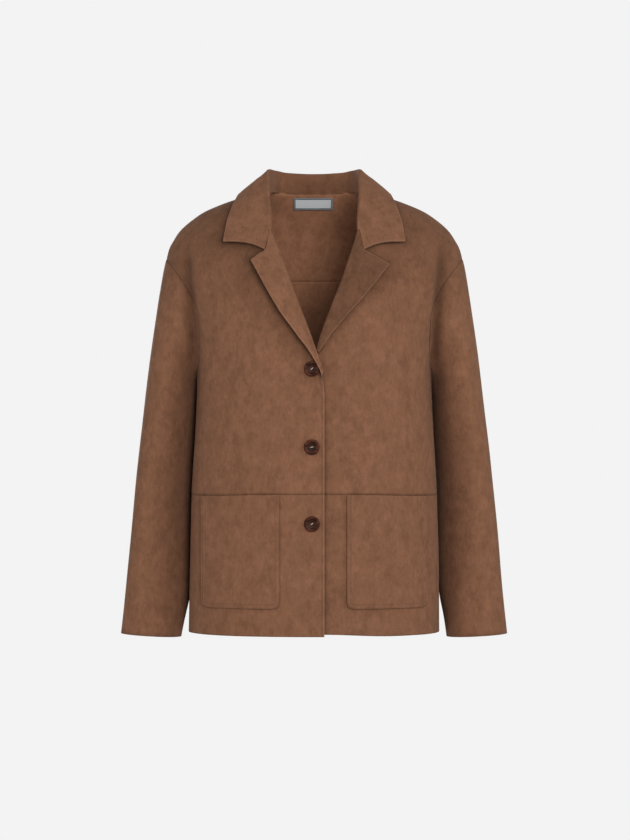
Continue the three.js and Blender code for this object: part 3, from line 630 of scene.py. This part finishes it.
# %% [markdown]
# The sleeves face out from an axis of their own. Next to the armhole they move with the trunk, so that
# the seam stays shut, and farther down they have broad dents of their own.

# %% Sleeves
SLEEVE_AXIS = {"z": [-0.636, -0.3], "x": [0.236, 0.21], "y": [-0.004, 0.02]}
ARMHOLE = {"z": [-0.262, -0.2, -0.15, -0.094], "x": [0.17, 0.175, 0.19, 0.212]}
DENT, DENT_SIZE = 0.0022, 0.06


def round_sleeve(points):
    """The way out from the middle of the sleeve at each point, level all round."""
    axis_x = np.sign(points[:, 0]) * at_height(points, SLEEVE_AXIS, "x")
    return level_way(points[:, 0] - axis_x, points[:, 1] - at_height(points, SLEEVE_AXIS, "y"))


def sleeve_lie(points):
    """Broad soft dents that run down the sleeve, dying out towards the armhole."""
    _, y, z = points.T
    side, out = np.sign(points[:, 0].mean()), np.abs(points[:, 0])
    dents = DENT * ramp(z, -0.13, -0.28) * waves(points * (1, 1, 0.5), DENT_SIZE, 3 + side)
    with_trunk = ramp(out - at_height(points, ARMHOLE, "x"), 0.039, 0.009)
    moved = points + round_sleeve(points) * dents[:, None] + trunk_swing(points) * with_trunk[:, None]
    moved[:, 1] += armhole_groove(points)
    # Behind, the sleeve closes up to the back, so that no light comes through the seam
    moved[:, 0] -= side * 0.0006 * bell(z, -0.148, 0.026) * (y > 0.02) * with_trunk
    # Under the arm the inner line goes in behind the trunk's side
    under_arm = ramp(out, 0.19, 0.174) * bell(z, -0.276, 0.0125)
    moved[:, 0] -= side * 0.0042 * under_arm
    moved[:, 1] += 0.012 * under_arm
    return moved


for name in ("sleeve_right", "sleeve_left"):
    panel(name, 2, PLAIN_SUEDE, no_rim, sleeve_lie, round_sleeve)

# %% [markdown]
# Shade is painted into the nap where cloth folds in, lies under an edge or sits in a hollow. A crease
# value from 0 to 1 on every point says how much painted shade there is: along the groove beside the armhole,
# painted shadows on the fronts next to the free edges of the lapels and the collar, under the front that laps
# over, round the pockets, and inside the back, where little light reaches.

# %% Painted shade
EDGE_WITHIN = 0.4
BROAD_SHADE = 0.030
RIGHT_EDGE_SHADOW = {"strong": 0.9, "reach": 0.009, "broad": 0.28}
LEFT_EDGE_SHADOW = {"strong": 0.5, "reach": 0.004, "broad": 0.12}
FRONT_EDGE_X = 0.0142
GROOVE_SHADE = {"z": [-0.36, -0.30, -0.25, -0.15, -0.10, -0.065], "dark": [0, 0.25, 0.6, 0.75, 0.6, 0]}
OVERLAP_SHADE = {"z": [-0.60, -0.45, -0.40, -0.27, -0.25], "dark": [0.45, 0.4, 0.25, 0.25, 0]}
INSIDE_SHADE = {"z": [-0.18, -0.123], "dark": [0.5, 0.15]}


def rim_values(obj):
    values = np.zeros(len(obj.data.vertices), np.float32)
    obj.data.attributes["rim"].data.foreach_get("value", values)
    return values


def edge_points(obj):
    """The points on a piece's free edge, flattened to what is seen from the front."""
    spots = coordinates(obj.data)[rim_values(obj) < EDGE_WITHIN]
    tree = KDTree(len(spots))
    for i, (x, _, z) in enumerate(spots):
        tree.insert((x, 0, z), i)
    tree.balance()
    return tree


def edge_shadow(points, tree, strong, reach, broad):
    """Painted shadow: dark close to the edge, and a little dark in a broad band beside it."""
    near = np.array([tree.find((x, 0, z))[2] for x, _, z in points])
    return np.maximum(strong * np.exp(-near / reach), broad * bell(near, 0, BROAD_SHADE))


def pocket_shadow(obj, points):
    """Painted shadow along the pocket's left and lower edge, where it stands off the panel, and faint on the
    right.
    """
    at_left = points[:, 0] < points[:, 0].min() + 0.012
    at_bottom = points[:, 2] < points[:, 2].min() + 0.007
    strong = np.where(at_left, 1.0, np.where(at_bottom, 0.8, 0.3))
    return strong * np.exp(-rim_values(obj) / 0.9)


def under_edge(points):
    """Painted shade on the under front, next to the edge of the front that laps over it."""
    past_edge = np.clip(points[:, 0] - FRONT_EDGE_X, 0, None)
    return at_height(points, OVERLAP_SHADE, "dark") * np.exp(-past_edge / 0.008)


def inside_dark(obj, points):
    """Little light reaches the inside of the back, less and less further down."""
    inner = (vectors(obj.data.vertices, "normal") * outwards(points)).sum(axis=1) < -0.5
    return inner * at_height(points, INSIDE_SHADE, "dark")


def painted_shade_of(name, obj):
    """How much painted shade darkens each point of a piece, from 0 to 1."""
    points = coordinates(obj.data)
    if name.startswith("pocket"):
        return pocket_shadow(obj, points)
    crease = in_groove(points) * at_height(points, GROOVE_SHADE, "dark")
    if name in ("front_right_upper", "front_left_upper", "back_yoke"):
        shadow_sizes = RIGHT_EDGE_SHADOW if points[:, 0].mean() < -0.01 else LEFT_EDGE_SHADOW
        for tree in EDGE_TREES:
            crease = np.maximum(crease, edge_shadow(points, tree, **shadow_sizes) * (points[:, 1] < 0.04))
    if name in ("front_left_upper", "front_left_lower"):
        crease = np.maximum(crease, under_edge(points))
    if name == "back":
        crease = np.maximum(crease, inside_dark(obj, points))
    return crease


EDGE_TREES = [edge_points(cloth[name]) for name in ("lapel_right", "lapel_left", "collar")]
for name, obj in cloth.items():
    crease = painted_shade_of(name, obj)
    write_values(obj.data, "crease", crease)
    print(name, "darkest crease:", round(float(crease.max()), 2))

# %% [markdown]
# The yoke and the back meet in a seam that shows inside the neck. Its allowances are turned down and
# held flat by a narrow tape: a strip of points thrown onto the inside of the back, made thick by a
# Solidify modifier. Its rows keep clear of the seam's own gap at -0.121, where a point would fall
# through, and a column with any point that misses is left out.

# %% Seam tape
OUTSIDE_Y, INSIDE_Y = -1, 0.01
TAPE_LEVELS = [-0.1238, -0.1228, -0.1216, -0.1204]
TAPE_HALF, TAPE_POINTS = 0.18, 61
TAPE_LIFT, TAPE_THICK = 0.0002, 0.0005


def surface_tree(*objs):
    """One search tree over several pieces, for laying things on them."""
    points, faces, start = [], [], 0
    for obj in objs:
        points += [v.co.copy() for v in obj.data.vertices]
        faces += [[start + i for i in p.vertices] for p in obj.data.polygons]
        start = len(points)
    return BVHTree.FromPolygons(points, faces)


def laid_on(tree, spots, from_y, lift):
    """Points given as (x, z), thrown backwards onto a piece and lifted off it, None where they miss."""
    laid = []
    for x, z in spots:
        hit, normal, _, _ = tree.ray_cast(Vector((x, from_y, z)), Vector((0, 1, 0)))
        if hit is None:
            laid.append(None)
        else:
            facing = normal if normal.y < 0 else -normal
            laid.append(hit + facing * lift)
    return laid


def hits_only(points):
    return [p for p in points if p is not None]


def strip_mesh(name, rows):
    """A mesh of the faces between rows of as many points each."""
    columns = len(rows[0])
    mesh = bpy.data.meshes.new(name)
    mesh.from_pydata([p for row in rows for p in row], [], [
        (i * columns + j, i * columns + j + 1, (i + 1) * columns + j + 1, (i + 1) * columns + j)
        for i in range(len(rows) - 1) for j in range(columns - 1)])
    return mesh


inside_back = surface_tree(cloth["back"], cloth["back_yoke"])
tape_x = np.linspace(-TAPE_HALF, TAPE_HALF, TAPE_POINTS)
tape_rows = [laid_on(inside_back, [(x, z) for x in tape_x], INSIDE_Y, TAPE_LIFT) for z in TAPE_LEVELS]
whole = [j for j in range(TAPE_POINTS) if all(row[j] is not None for row in tape_rows)]
tape = added("seam_tape", strip_mesh("seam_tape", [[row[j] for j in whole] for row in tape_rows]))
wall = tape.modifiers.new("wall", "SOLIDIFY")
wall.thickness = TAPE_THICK
tape.data = evaluated_mesh(tape)
tape.modifiers.clear()
tape.data.shade_smooth()
write_rim(tape, [])
tape.data.materials.append(LIGHTENED_TAPE_SUEDE)
cloth["seam_tape"] = tape
print("tape columns:", len(whole), "of", TAPE_POINTS)

# %% [markdown]
# Top-stitching is one short piece of thread, repeated. A Geometry Nodes tree walks along a line at a
# fixed pitch and puts a stitch at each step, turned along the line. Its sizes are named inputs, so the
# same tree sews the front edge, the pockets and the tape.

# %% Stitch tree
STITCH_SIZES = {"Pitch": 0.0034, "Stitch length": 0.0025, "Thread radius": 0.00028}


def stitch_tree():
    tree = bpy.data.node_groups.new("stitch_run", "GeometryNodeTree")
    tree.interface.new_socket("Line", in_out="INPUT", socket_type="NodeSocketGeometry")
    for label, value in STITCH_SIZES.items():
        tree.interface.new_socket(label, in_out="INPUT", socket_type="NodeSocketFloat").default_value = value
    tree.interface.new_socket("Thread", in_out="INPUT", socket_type="NodeSocketMaterial")
    tree.interface.new_socket("Stitches", in_out="OUTPUT", socket_type="NodeSocketGeometry")
    given = tree.nodes.new("NodeGroupInput").outputs
    result = tree.nodes.new("NodeGroupOutput")
    curve = put(tree, "GeometryNodeMeshToCurve", None, {"Mesh": given["Line"]}).outputs[0]
    steps = put(tree, "GeometryNodeResampleCurve", {"mode": "LENGTH"}, {
        "Curve": curve, "Length": given["Pitch"]}).outputs[0]
    ball = put(tree, "GeometryNodeMeshUVSphere", None, {"Segments": 6, "Rings": 5, "Radius": 1.0}).outputs[0]
    half = maths(tree, "MULTIPLY", given["Stitch length"], 0.5)
    size = put(tree, "ShaderNodeCombineXYZ", None, {
        0: half, 1: given["Thread radius"], 2: given["Thread radius"]}).outputs[0]
    stitch = put(tree, "GeometryNodeTransform", None, {"Geometry": ball, "Scale": size}).outputs[0]
    way = put(tree, "FunctionNodeAlignRotationToVector", {"axis": "X"}, {
        "Vector": tree.nodes.new("GeometryNodeInputTangent").outputs[0]}).outputs[0]
    placed = put(tree, "GeometryNodeInstanceOnPoints", None, {
        "Points": steps, "Instance": stitch, "Rotation": way}).outputs[0]
    real = put(tree, "GeometryNodeRealizeInstances", None, {"Geometry": placed}).outputs[0]
    smooth = put(tree, "GeometryNodeSetShadeSmooth", None, {"Geometry": real}).outputs[0]
    painted = put(tree, "GeometryNodeSetMaterial", None, {
        "Geometry": smooth, "Material": given["Thread"]}).outputs[0]
    tree.links.new(painted, result.inputs["Stitches"])
    return tree


STITCHES = stitch_tree()
print("tree:", STITCHES.name)

# %% [markdown]
# Thread is a few strands twisted together, so its finish has fine ridges in two tones. One thread is
# brown, for the suede, and the other pale, for the buttons.

# %% Thread finish
def thread(name, colour):
    """Twisted thread: a plain colour with fine diagonal ridges."""
    material, tree, shader = new_finish(name)
    place = put(tree, "ShaderNodeTexCoord").outputs["Object"]
    ply = clouds(tree, place, 2600, (1, 1, 0.4), 2)
    dark, light = ((*(c * share for c in colour), 1) for share in (0.75, 1.2))
    tree.links.new(blended(tree, spread(tree, ply, 0.3, 0.7), dark, light), shader.inputs["Base Color"])
    bumped(tree, shader, ply, 0.0001)
    shader.inputs["Roughness"].default_value = 0.7
    return material


BROWN_THREAD = thread("thread_brown", (0.23, 0.115, 0.068))
PALE_THREAD = thread("thread_pale", (0.33, 0.26, 0.21))
print("threads:", BROWN_THREAD.name, PALE_THREAD.name)

# %% [markdown]
# Each seam line is a row of points that are thrown onto the finished cloth, so the stitches lie on it
# whatever its waves do. The line goes into the stitch tree as a mesh of edges. The tree's inputs are
# set on the modifier by their identifiers, and the result is kept as a plain mesh.

# %% Sew
THREAD_LIFT = 0.00012
TAPE_THREAD_RADIUS = 0.00018
TAPE_STITCH_LEVELS = (-0.1208, -0.1234)
# The upper front's edge, which turns away towards the lapel above the top button
FRONT_LINE = {"z": [-0.631, -0.431, -0.290, -0.272, -0.266],
              "x": [FRONT_EDGE_X] * 3 + [0.0124, 0.0114]}
POCKET_TURN = 0.006


def sewn(name, runs, radius=STITCH_SIZES["Thread radius"]):
    """Stitches along some lines of points, as one plain mesh."""
    mesh = bpy.data.meshes.new(name)
    edges, start = [], 0
    for run in runs:
        edges += [(start + i, start + i + 1) for i in range(len(run) - 1)]
        start += len(run)
    mesh.from_pydata([p for run in runs for p in run], edges, [])
    obj = added(name, mesh)
    modifier = obj.modifiers.new("sew", "NODES")
    modifier.node_group = STITCHES
    values = {**STITCH_SIZES, "Thread radius": radius, "Thread": BROWN_THREAD}
    for item in STITCHES.interface.items_tree:
        if item.in_out == "INPUT" and item.name in values:
            modifier[item.identifier] = values[item.name]
    obj.data = evaluated_mesh(obj)
    obj.modifiers.clear()
    print(name, "faces:", len(obj.data.polygons))
    return obj


def front_run():
    """The stitch line beside the upper front's edge, from the lapel's end down to the hem."""
    heights = np.linspace(-0.268, -0.629, 120)
    edge = np.interp(heights, FRONT_LINE["z"], FRONT_LINE["x"])
    fronts = surface_tree(cloth["front_right_upper"], cloth["front_right_lower"])
    spots = [(x - FRONT_STITCH * MM, z) for x, z in zip(edge, heights)]
    return hits_only(laid_on(fronts, spots, OUTSIDE_Y, THREAD_LIFT))


def pocket_run(side):
    """The stitch line round a pocket, seen from the front: down one side, round the corners and up."""
    low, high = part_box("pocket_" + side)
    in_by, turn = POCKET_STITCH * MM, POCKET_TURN
    left, right, bottom, top = low.x + in_by, high.x - in_by, low.z + in_by, high.z - 0.001
    spots = [(left, z) for z in np.linspace(top, bottom + turn, 40)]
    arc = np.linspace(0, math.pi / 2, 8)[1:-1]
    spots += [(left + turn - turn * math.cos(a), bottom + turn - turn * math.sin(a)) for a in arc]
    spots += [(x, bottom) for x in np.linspace(left + turn, right - turn, 36)]
    spots += [(right - turn + turn * math.sin(a), bottom + turn - turn * math.cos(a)) for a in arc]
    spots += [(right, z) for z in np.linspace(bottom + turn, top, 40)]
    return hits_only(laid_on(surface_tree(cloth["pocket_" + side]), spots, OUTSIDE_Y, THREAD_LIFT))


def tape_run(z):
    """One stitch line along the tape, a little shorter than the tape itself."""
    spots = [(x, z) for x in np.linspace(-TAPE_HALF + 0.002, TAPE_HALF - 0.002, 120)]
    return hits_only(laid_on(surface_tree(tape), spots, INSIDE_Y, THREAD_LIFT))


threads = [sewn("stitches_front", [front_run()])]
for side in ("right", "left"):
    threads.append(sewn("stitches_pocket_" + side, [pocket_run(side)]))
threads.append(sewn("stitches_tape", [tape_run(z) for z in TAPE_STITCH_LEVELS], TAPE_THREAD_RADIUS))

# %% [markdown]
# A horn-like button is a turned disc: a rounded rim, a step down to a dished middle and two holes. It
# is made by turning a profile, then cutting the holes with a Boolean, because a hole that light can
# enter looks right from every side. Its place and the line through its holes are read off the solid.

# %% Button shape
# Radius and height in millimetres, from the dish's middle over the rim to the underside
BUTTON_PROFILE = [
    (0, 1.7), (3.5, 1.75), (5.4, 1.95), (6.4, 2.4), (7.2, 3.0), (7.8, 3.55), (8.5, 3.85), (9.2, 3.9),
    (9.9, 3.75), (10.5, 3.3), (10.9, 2.6), (11, 1.9), (10.85, 1.2), (10.4, 0.55), (9.6, 0.15), (8.6, 0),
    (0, 0),
]
HOLE_RADIUS, HOLE_OFF = 1.1, 2.4
DISH_EDGE, DISH_FULL = 7.8, 5.6


def turned(name, profile, steps):
    """A profile of (radius, height) in millimetres, turned round Z."""
    bm = bmesh.new()
    rings = [[bm.verts.new((r * math.cos(a) * MM, r * math.sin(a) * MM, h * MM))
              for a in np.linspace(0, 2 * math.pi, steps, endpoint=False)] if r else
             [bm.verts.new((0, 0, h * MM))] * steps for r, h in profile]
    for upper, lower in zip(rings, rings[1:]):
        for i in range(steps):
            corners = [upper[i], lower[i], lower[(i + 1) % steps], upper[(i + 1) % steps]]
            bm.faces.new(list(dict.fromkeys(corners)))
    bmesh.ops.recalc_face_normals(bm, faces=bm.faces)
    mesh = bpy.data.meshes.new(name)
    bm.to_mesh(mesh)
    bm.free()
    return added(name, mesh)


def button_mesh():
    disc = turned("button_disc", BUTTON_PROFILE, 64)
    for way in (-1, 1):
        drill = turned("drill", [(0, 6), (HOLE_RADIUS, 6), (HOLE_RADIUS, -2), (0, -2)], 24)
        drill.data.transform(Matrix.Translation((way * HOLE_OFF * MM, 0, 0)))
        cut = disc.modifiers.new("hole", "BOOLEAN")
        cut.object = drill
        cut.operation = "DIFFERENCE"
        disc.data = evaluated_mesh(disc)
        disc.modifiers.clear()
        bpy.data.objects.remove(drill)
    mesh = disc.data
    mesh.shade_smooth()
    mesh.set_sharp_from_angle(angle=math.radians(45))
    # How far inside the dish each point lies, for the horn's darker middle
    reach = np.linalg.norm(coordinates(mesh)[:, :2], axis=1) / MM
    write_values(mesh, "dish", ramp(reach, DISH_EDGE, DISH_FULL))
    bpy.data.objects.remove(disc)
    return mesh


BUTTON_SHAPE = button_mesh()
print("button faces:", len(BUTTON_SHAPE.polygons))

# %% [markdown]
# Horn is dark, with redder veins that run one way and a few lighter clouds. The dish collects less
# light than the rim, so a value on the button's points darkens it, and fine scuffs break the gloss.

# %% Horn finish
def horn():
    """Dark horn with veins and clouds, darker in the dish."""
    material, tree, shader = new_finish("horn_brown")
    place = put(tree, "ShaderNodeTexCoord").outputs["Object"]
    veins = clouds(tree, place, 260, (0.35, 1, 1), 4, 0.6)
    cloud = clouds(tree, place, 90, (1, 1, 1), 2, 0.5, (4, 2, 9))
    dish = put(tree, "ShaderNodeAttribute", {"attribute_name": "dish"}).outputs["Fac"]
    tone = blended(tree, spread(tree, veins, 0.38, 0.66), (0.02, 0.0052, 0.0022, 1), (0.07, 0.019, 0.008, 1))
    tone = blended(tree, spread(tree, cloud, 0.5, 0.75, 0, 0.5), tone, (0.10, 0.034, 0.016, 1))
    tone = blended(tree, spread(tree, dish, 0, 1, 0, 0.6), tone, (0.010, 0.0035, 0.002, 1))
    tree.links.new(tone, shader.inputs["Base Color"])
    scuffs = spread(tree, clouds(tree, place, 1400, (1, 1, 1), 3), 0.35, 0.75, 0.42, 0.58)
    tree.links.new(scuffs, shader.inputs["Roughness"])
    shader.inputs["Specular IOR Level"].default_value = 0.1
    return material


HORN = horn()
print("finish:", HORN.name)

# %% [markdown]
# A button's own axes are found from the solid's points: it is thinnest along its axis, and its holes
# lie on one line across it. Three strands of pale thread go from hole to hole over the middle.

# %% Buttons and their thread
STRAND_RADIUS = 0.00026
STRAND_OFFS = (-0.5, 0.0, 0.5)


def button_place(name):
    """A matrix that takes a button from its own axes to its place on the front."""
    points = np.unique(np.round(coordinates(nodes[name].data), 6), axis=0)
    middle = points.mean(axis=0)
    axis = np.linalg.svd(points - middle)[2][2]
    axis = axis * -np.sign(axis[1])
    height = (points - middle) @ axis
    middle = middle + axis * height.min()
    flat = points - middle - np.outer((points - middle) @ axis, axis)
    reach = np.linalg.norm(flat, axis=1)
    round_holes = flat[(reach > 0.8 * MM) & (reach < 4 * MM)]
    line = np.linalg.svd(round_holes)[2][0]
    line = line * np.sign(line[0])
    across = np.cross(axis, line)
    return Matrix([[line[i], across[i], axis[i], middle[i]] for i in range(3)] + [[0, 0, 0, 1]])


def strand(points):
    """A round strand along some points, as a mesh."""
    curve = bpy.data.curves.new("strand", "CURVE")
    curve.dimensions = "3D"
    curve.bevel_depth = STRAND_RADIUS
    curve.bevel_resolution = 3
    curve.use_fill_caps = True
    spline = curve.splines.new("POLY")
    spline.points.add(len(points) - 1)
    for spot, p in zip(spline.points, points):
        spot.co = (*p, 1)
    obj = added("strand", curve)
    mesh = evaluated_mesh(obj)
    bpy.data.objects.remove(obj)
    return mesh


def strand_arc(off):
    """One strand's way up out of a hole, over the bridge and down the other, bowed to the side."""
    return [(math.sin(a) * HOLE_OFF * MM, off * MM * math.cos(a) * 0.9, (0.9 + 2.3 * math.cos(a) ** 0.6) * MM)
            for a in np.linspace(-1.5, 1.5, 17)]


def thread_mesh(name):
    joined = bmesh.new()
    for off in STRAND_OFFS:
        joined.from_mesh(strand(strand_arc(off)))
    mesh = bpy.data.meshes.new(name)
    joined.to_mesh(mesh)
    joined.free()
    mesh.shade_smooth()
    mesh.materials.clear()
    mesh.materials.append(PALE_THREAD)
    return mesh


for name in ("button_1", "button_2", "button_3"):
    where = button_place(name)
    disc = added(name + "_disc", BUTTON_SHAPE.copy())
    disc.data.transform(where)
    disc.data.materials.append(HORN)
    sewing = added(name + "_thread", thread_mesh(name + "_thread"))
    sewing.data.transform(where)
    threads.append(sewing)
    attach(disc, "root")
    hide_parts(name)
    print(name, "at:", [round(v, 4) for v in where.translation])

# %% [markdown]
# The neck label is a woven ribbon. It is left bare, with a plain border woven along its edges: a grey
# selvedge, a dark line and a pale middle. The border follows the label's own width and height.

# %% Label
label_low, label_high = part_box("label")
SELVEDGE_IN, MIDDLE_IN = (1.5, 1.9), (2.5, 3.0)  # in millimetres from the label's edge
BORDER_LINE = (0.035, 0.045, 0.06, 1)


def ribbon():
    """Woven ribbon whose border is worked out from each point's distance to the label's edge."""
    material, tree, shader = new_finish("woven_label")
    place = put(tree, "ShaderNodeTexCoord").outputs["Object"]
    parts = put(tree, "ShaderNodeSeparateXYZ", None, {0: place}).outputs
    middle = (label_low + label_high) / 2
    half = (label_high - label_low) / 2
    inset = []
    for k in (0, 2):
        off = maths(tree, "ABSOLUTE", maths(tree, "SUBTRACT", parts[k], middle[k]))
        inset.append(maths(tree, "SUBTRACT", half[k], off))
    edge = maths(tree, "MULTIPLY", maths(tree, "MINIMUM", *inset), 1 / MM)
    weave, weft = (put(tree, "ShaderNodeTexWave", {"bands_direction": way}, {
        "Vector": place, "Scale": scale}).outputs["Fac"] for way, scale in (("Z", 500.0), ("X", 320.0)))
    pale = blended(tree, maths(tree, "MULTIPLY", weave, 0.25), (0.62, 0.65, 0.66, 1), (0.45, 0.48, 0.5, 1))
    selvedge = blended(tree, weft, (0.11, 0.12, 0.13, 1), (0.3, 0.32, 0.34, 1))
    past_selvedge = spread(tree, edge, *SELVEDGE_IN)
    line = maths(tree, "MULTIPLY", past_selvedge, spread(tree, edge, *MIDDLE_IN, 1.0, 0.0))
    tone = blended(tree, line, blended(tree, past_selvedge, selvedge, pale), BORDER_LINE)
    tree.links.new(tone, shader.inputs["Base Color"])
    bumped(tree, shader, maths(tree, "MULTIPLY", maths(tree, "ADD", weave, weft), 0.00006))
    shader.inputs["Roughness"].default_value = 0.75
    return material


label, _ = rounded("label", "label_ribbon", 3)
label.data.materials.clear()
label.data.materials.append(ribbon())
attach(label, "root")
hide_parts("label")
print("label faces:", len(label.data.polygons))

# %% [markdown]
# A sheet is cloth, with the size of its cut, how it is held and what it hangs from or lies on. Every
# piece rides the one body, the cloth pieces take the place of the solids of the same name, and the
# stitches and the tape only ride along.

# %% Rides and sheet sizes
CUT = {
    "front_right_upper": (0.265, 0.445, "hung", ["back_yoke"]),
    "front_left_upper": (0.265, 0.445, "hung", ["back_yoke"]),
    "front_right_lower": (0.275, 0.202, "hung", ["front_right_upper"]),
    "front_left_lower": (0.278, 0.202, "hung", ["front_left_upper"]),
    "pocket_right": (0.132, 0.162, "laid", ["front_right_lower"]),
    "pocket_left": (0.137, 0.162, "laid", ["front_left_lower"]),
    "back": (0.500, 0.512, "hung", ["back_yoke"]),
    "back_yoke": (0.500, 0.190, "draped", []),
    "sleeve_right": (0.380, 0.550, "hung", ["front_right_upper", "back_yoke"]),
    "sleeve_left": (0.380, 0.550, "hung", ["front_left_upper", "back_yoke"]),
    "lapel_right": (0.060, 0.215, "folded", ["front_right_upper"]),
    "lapel_left": (0.068, 0.180, "folded", ["front_left_upper"]),
    "collar": (0.520, 0.125, "folded", ["back_yoke"]),
    "label": (0.059, 0.021, "laid", ["back_yoke"]),
}


def wall_area(obj):
    """Half of a thin wall's surface, which is the cloth that it takes."""
    areas = np.zeros(len(obj.data.polygons), np.float32)
    obj.data.polygons.foreach_get("area", areas)
    return float(areas.sum()) / 2


for name, (width, length, held, holders) in CUT.items():
    obj = label if name == "label" else cloth[name]
    area = wall_area(obj)
    print(name, "cut:", width, "x", length, "area:", round(area, 4))
for name, obj in cloth.items():
    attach(obj, "root")
    if name in nodes:
        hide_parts(name)
for obj in threads:
    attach(obj, "root")
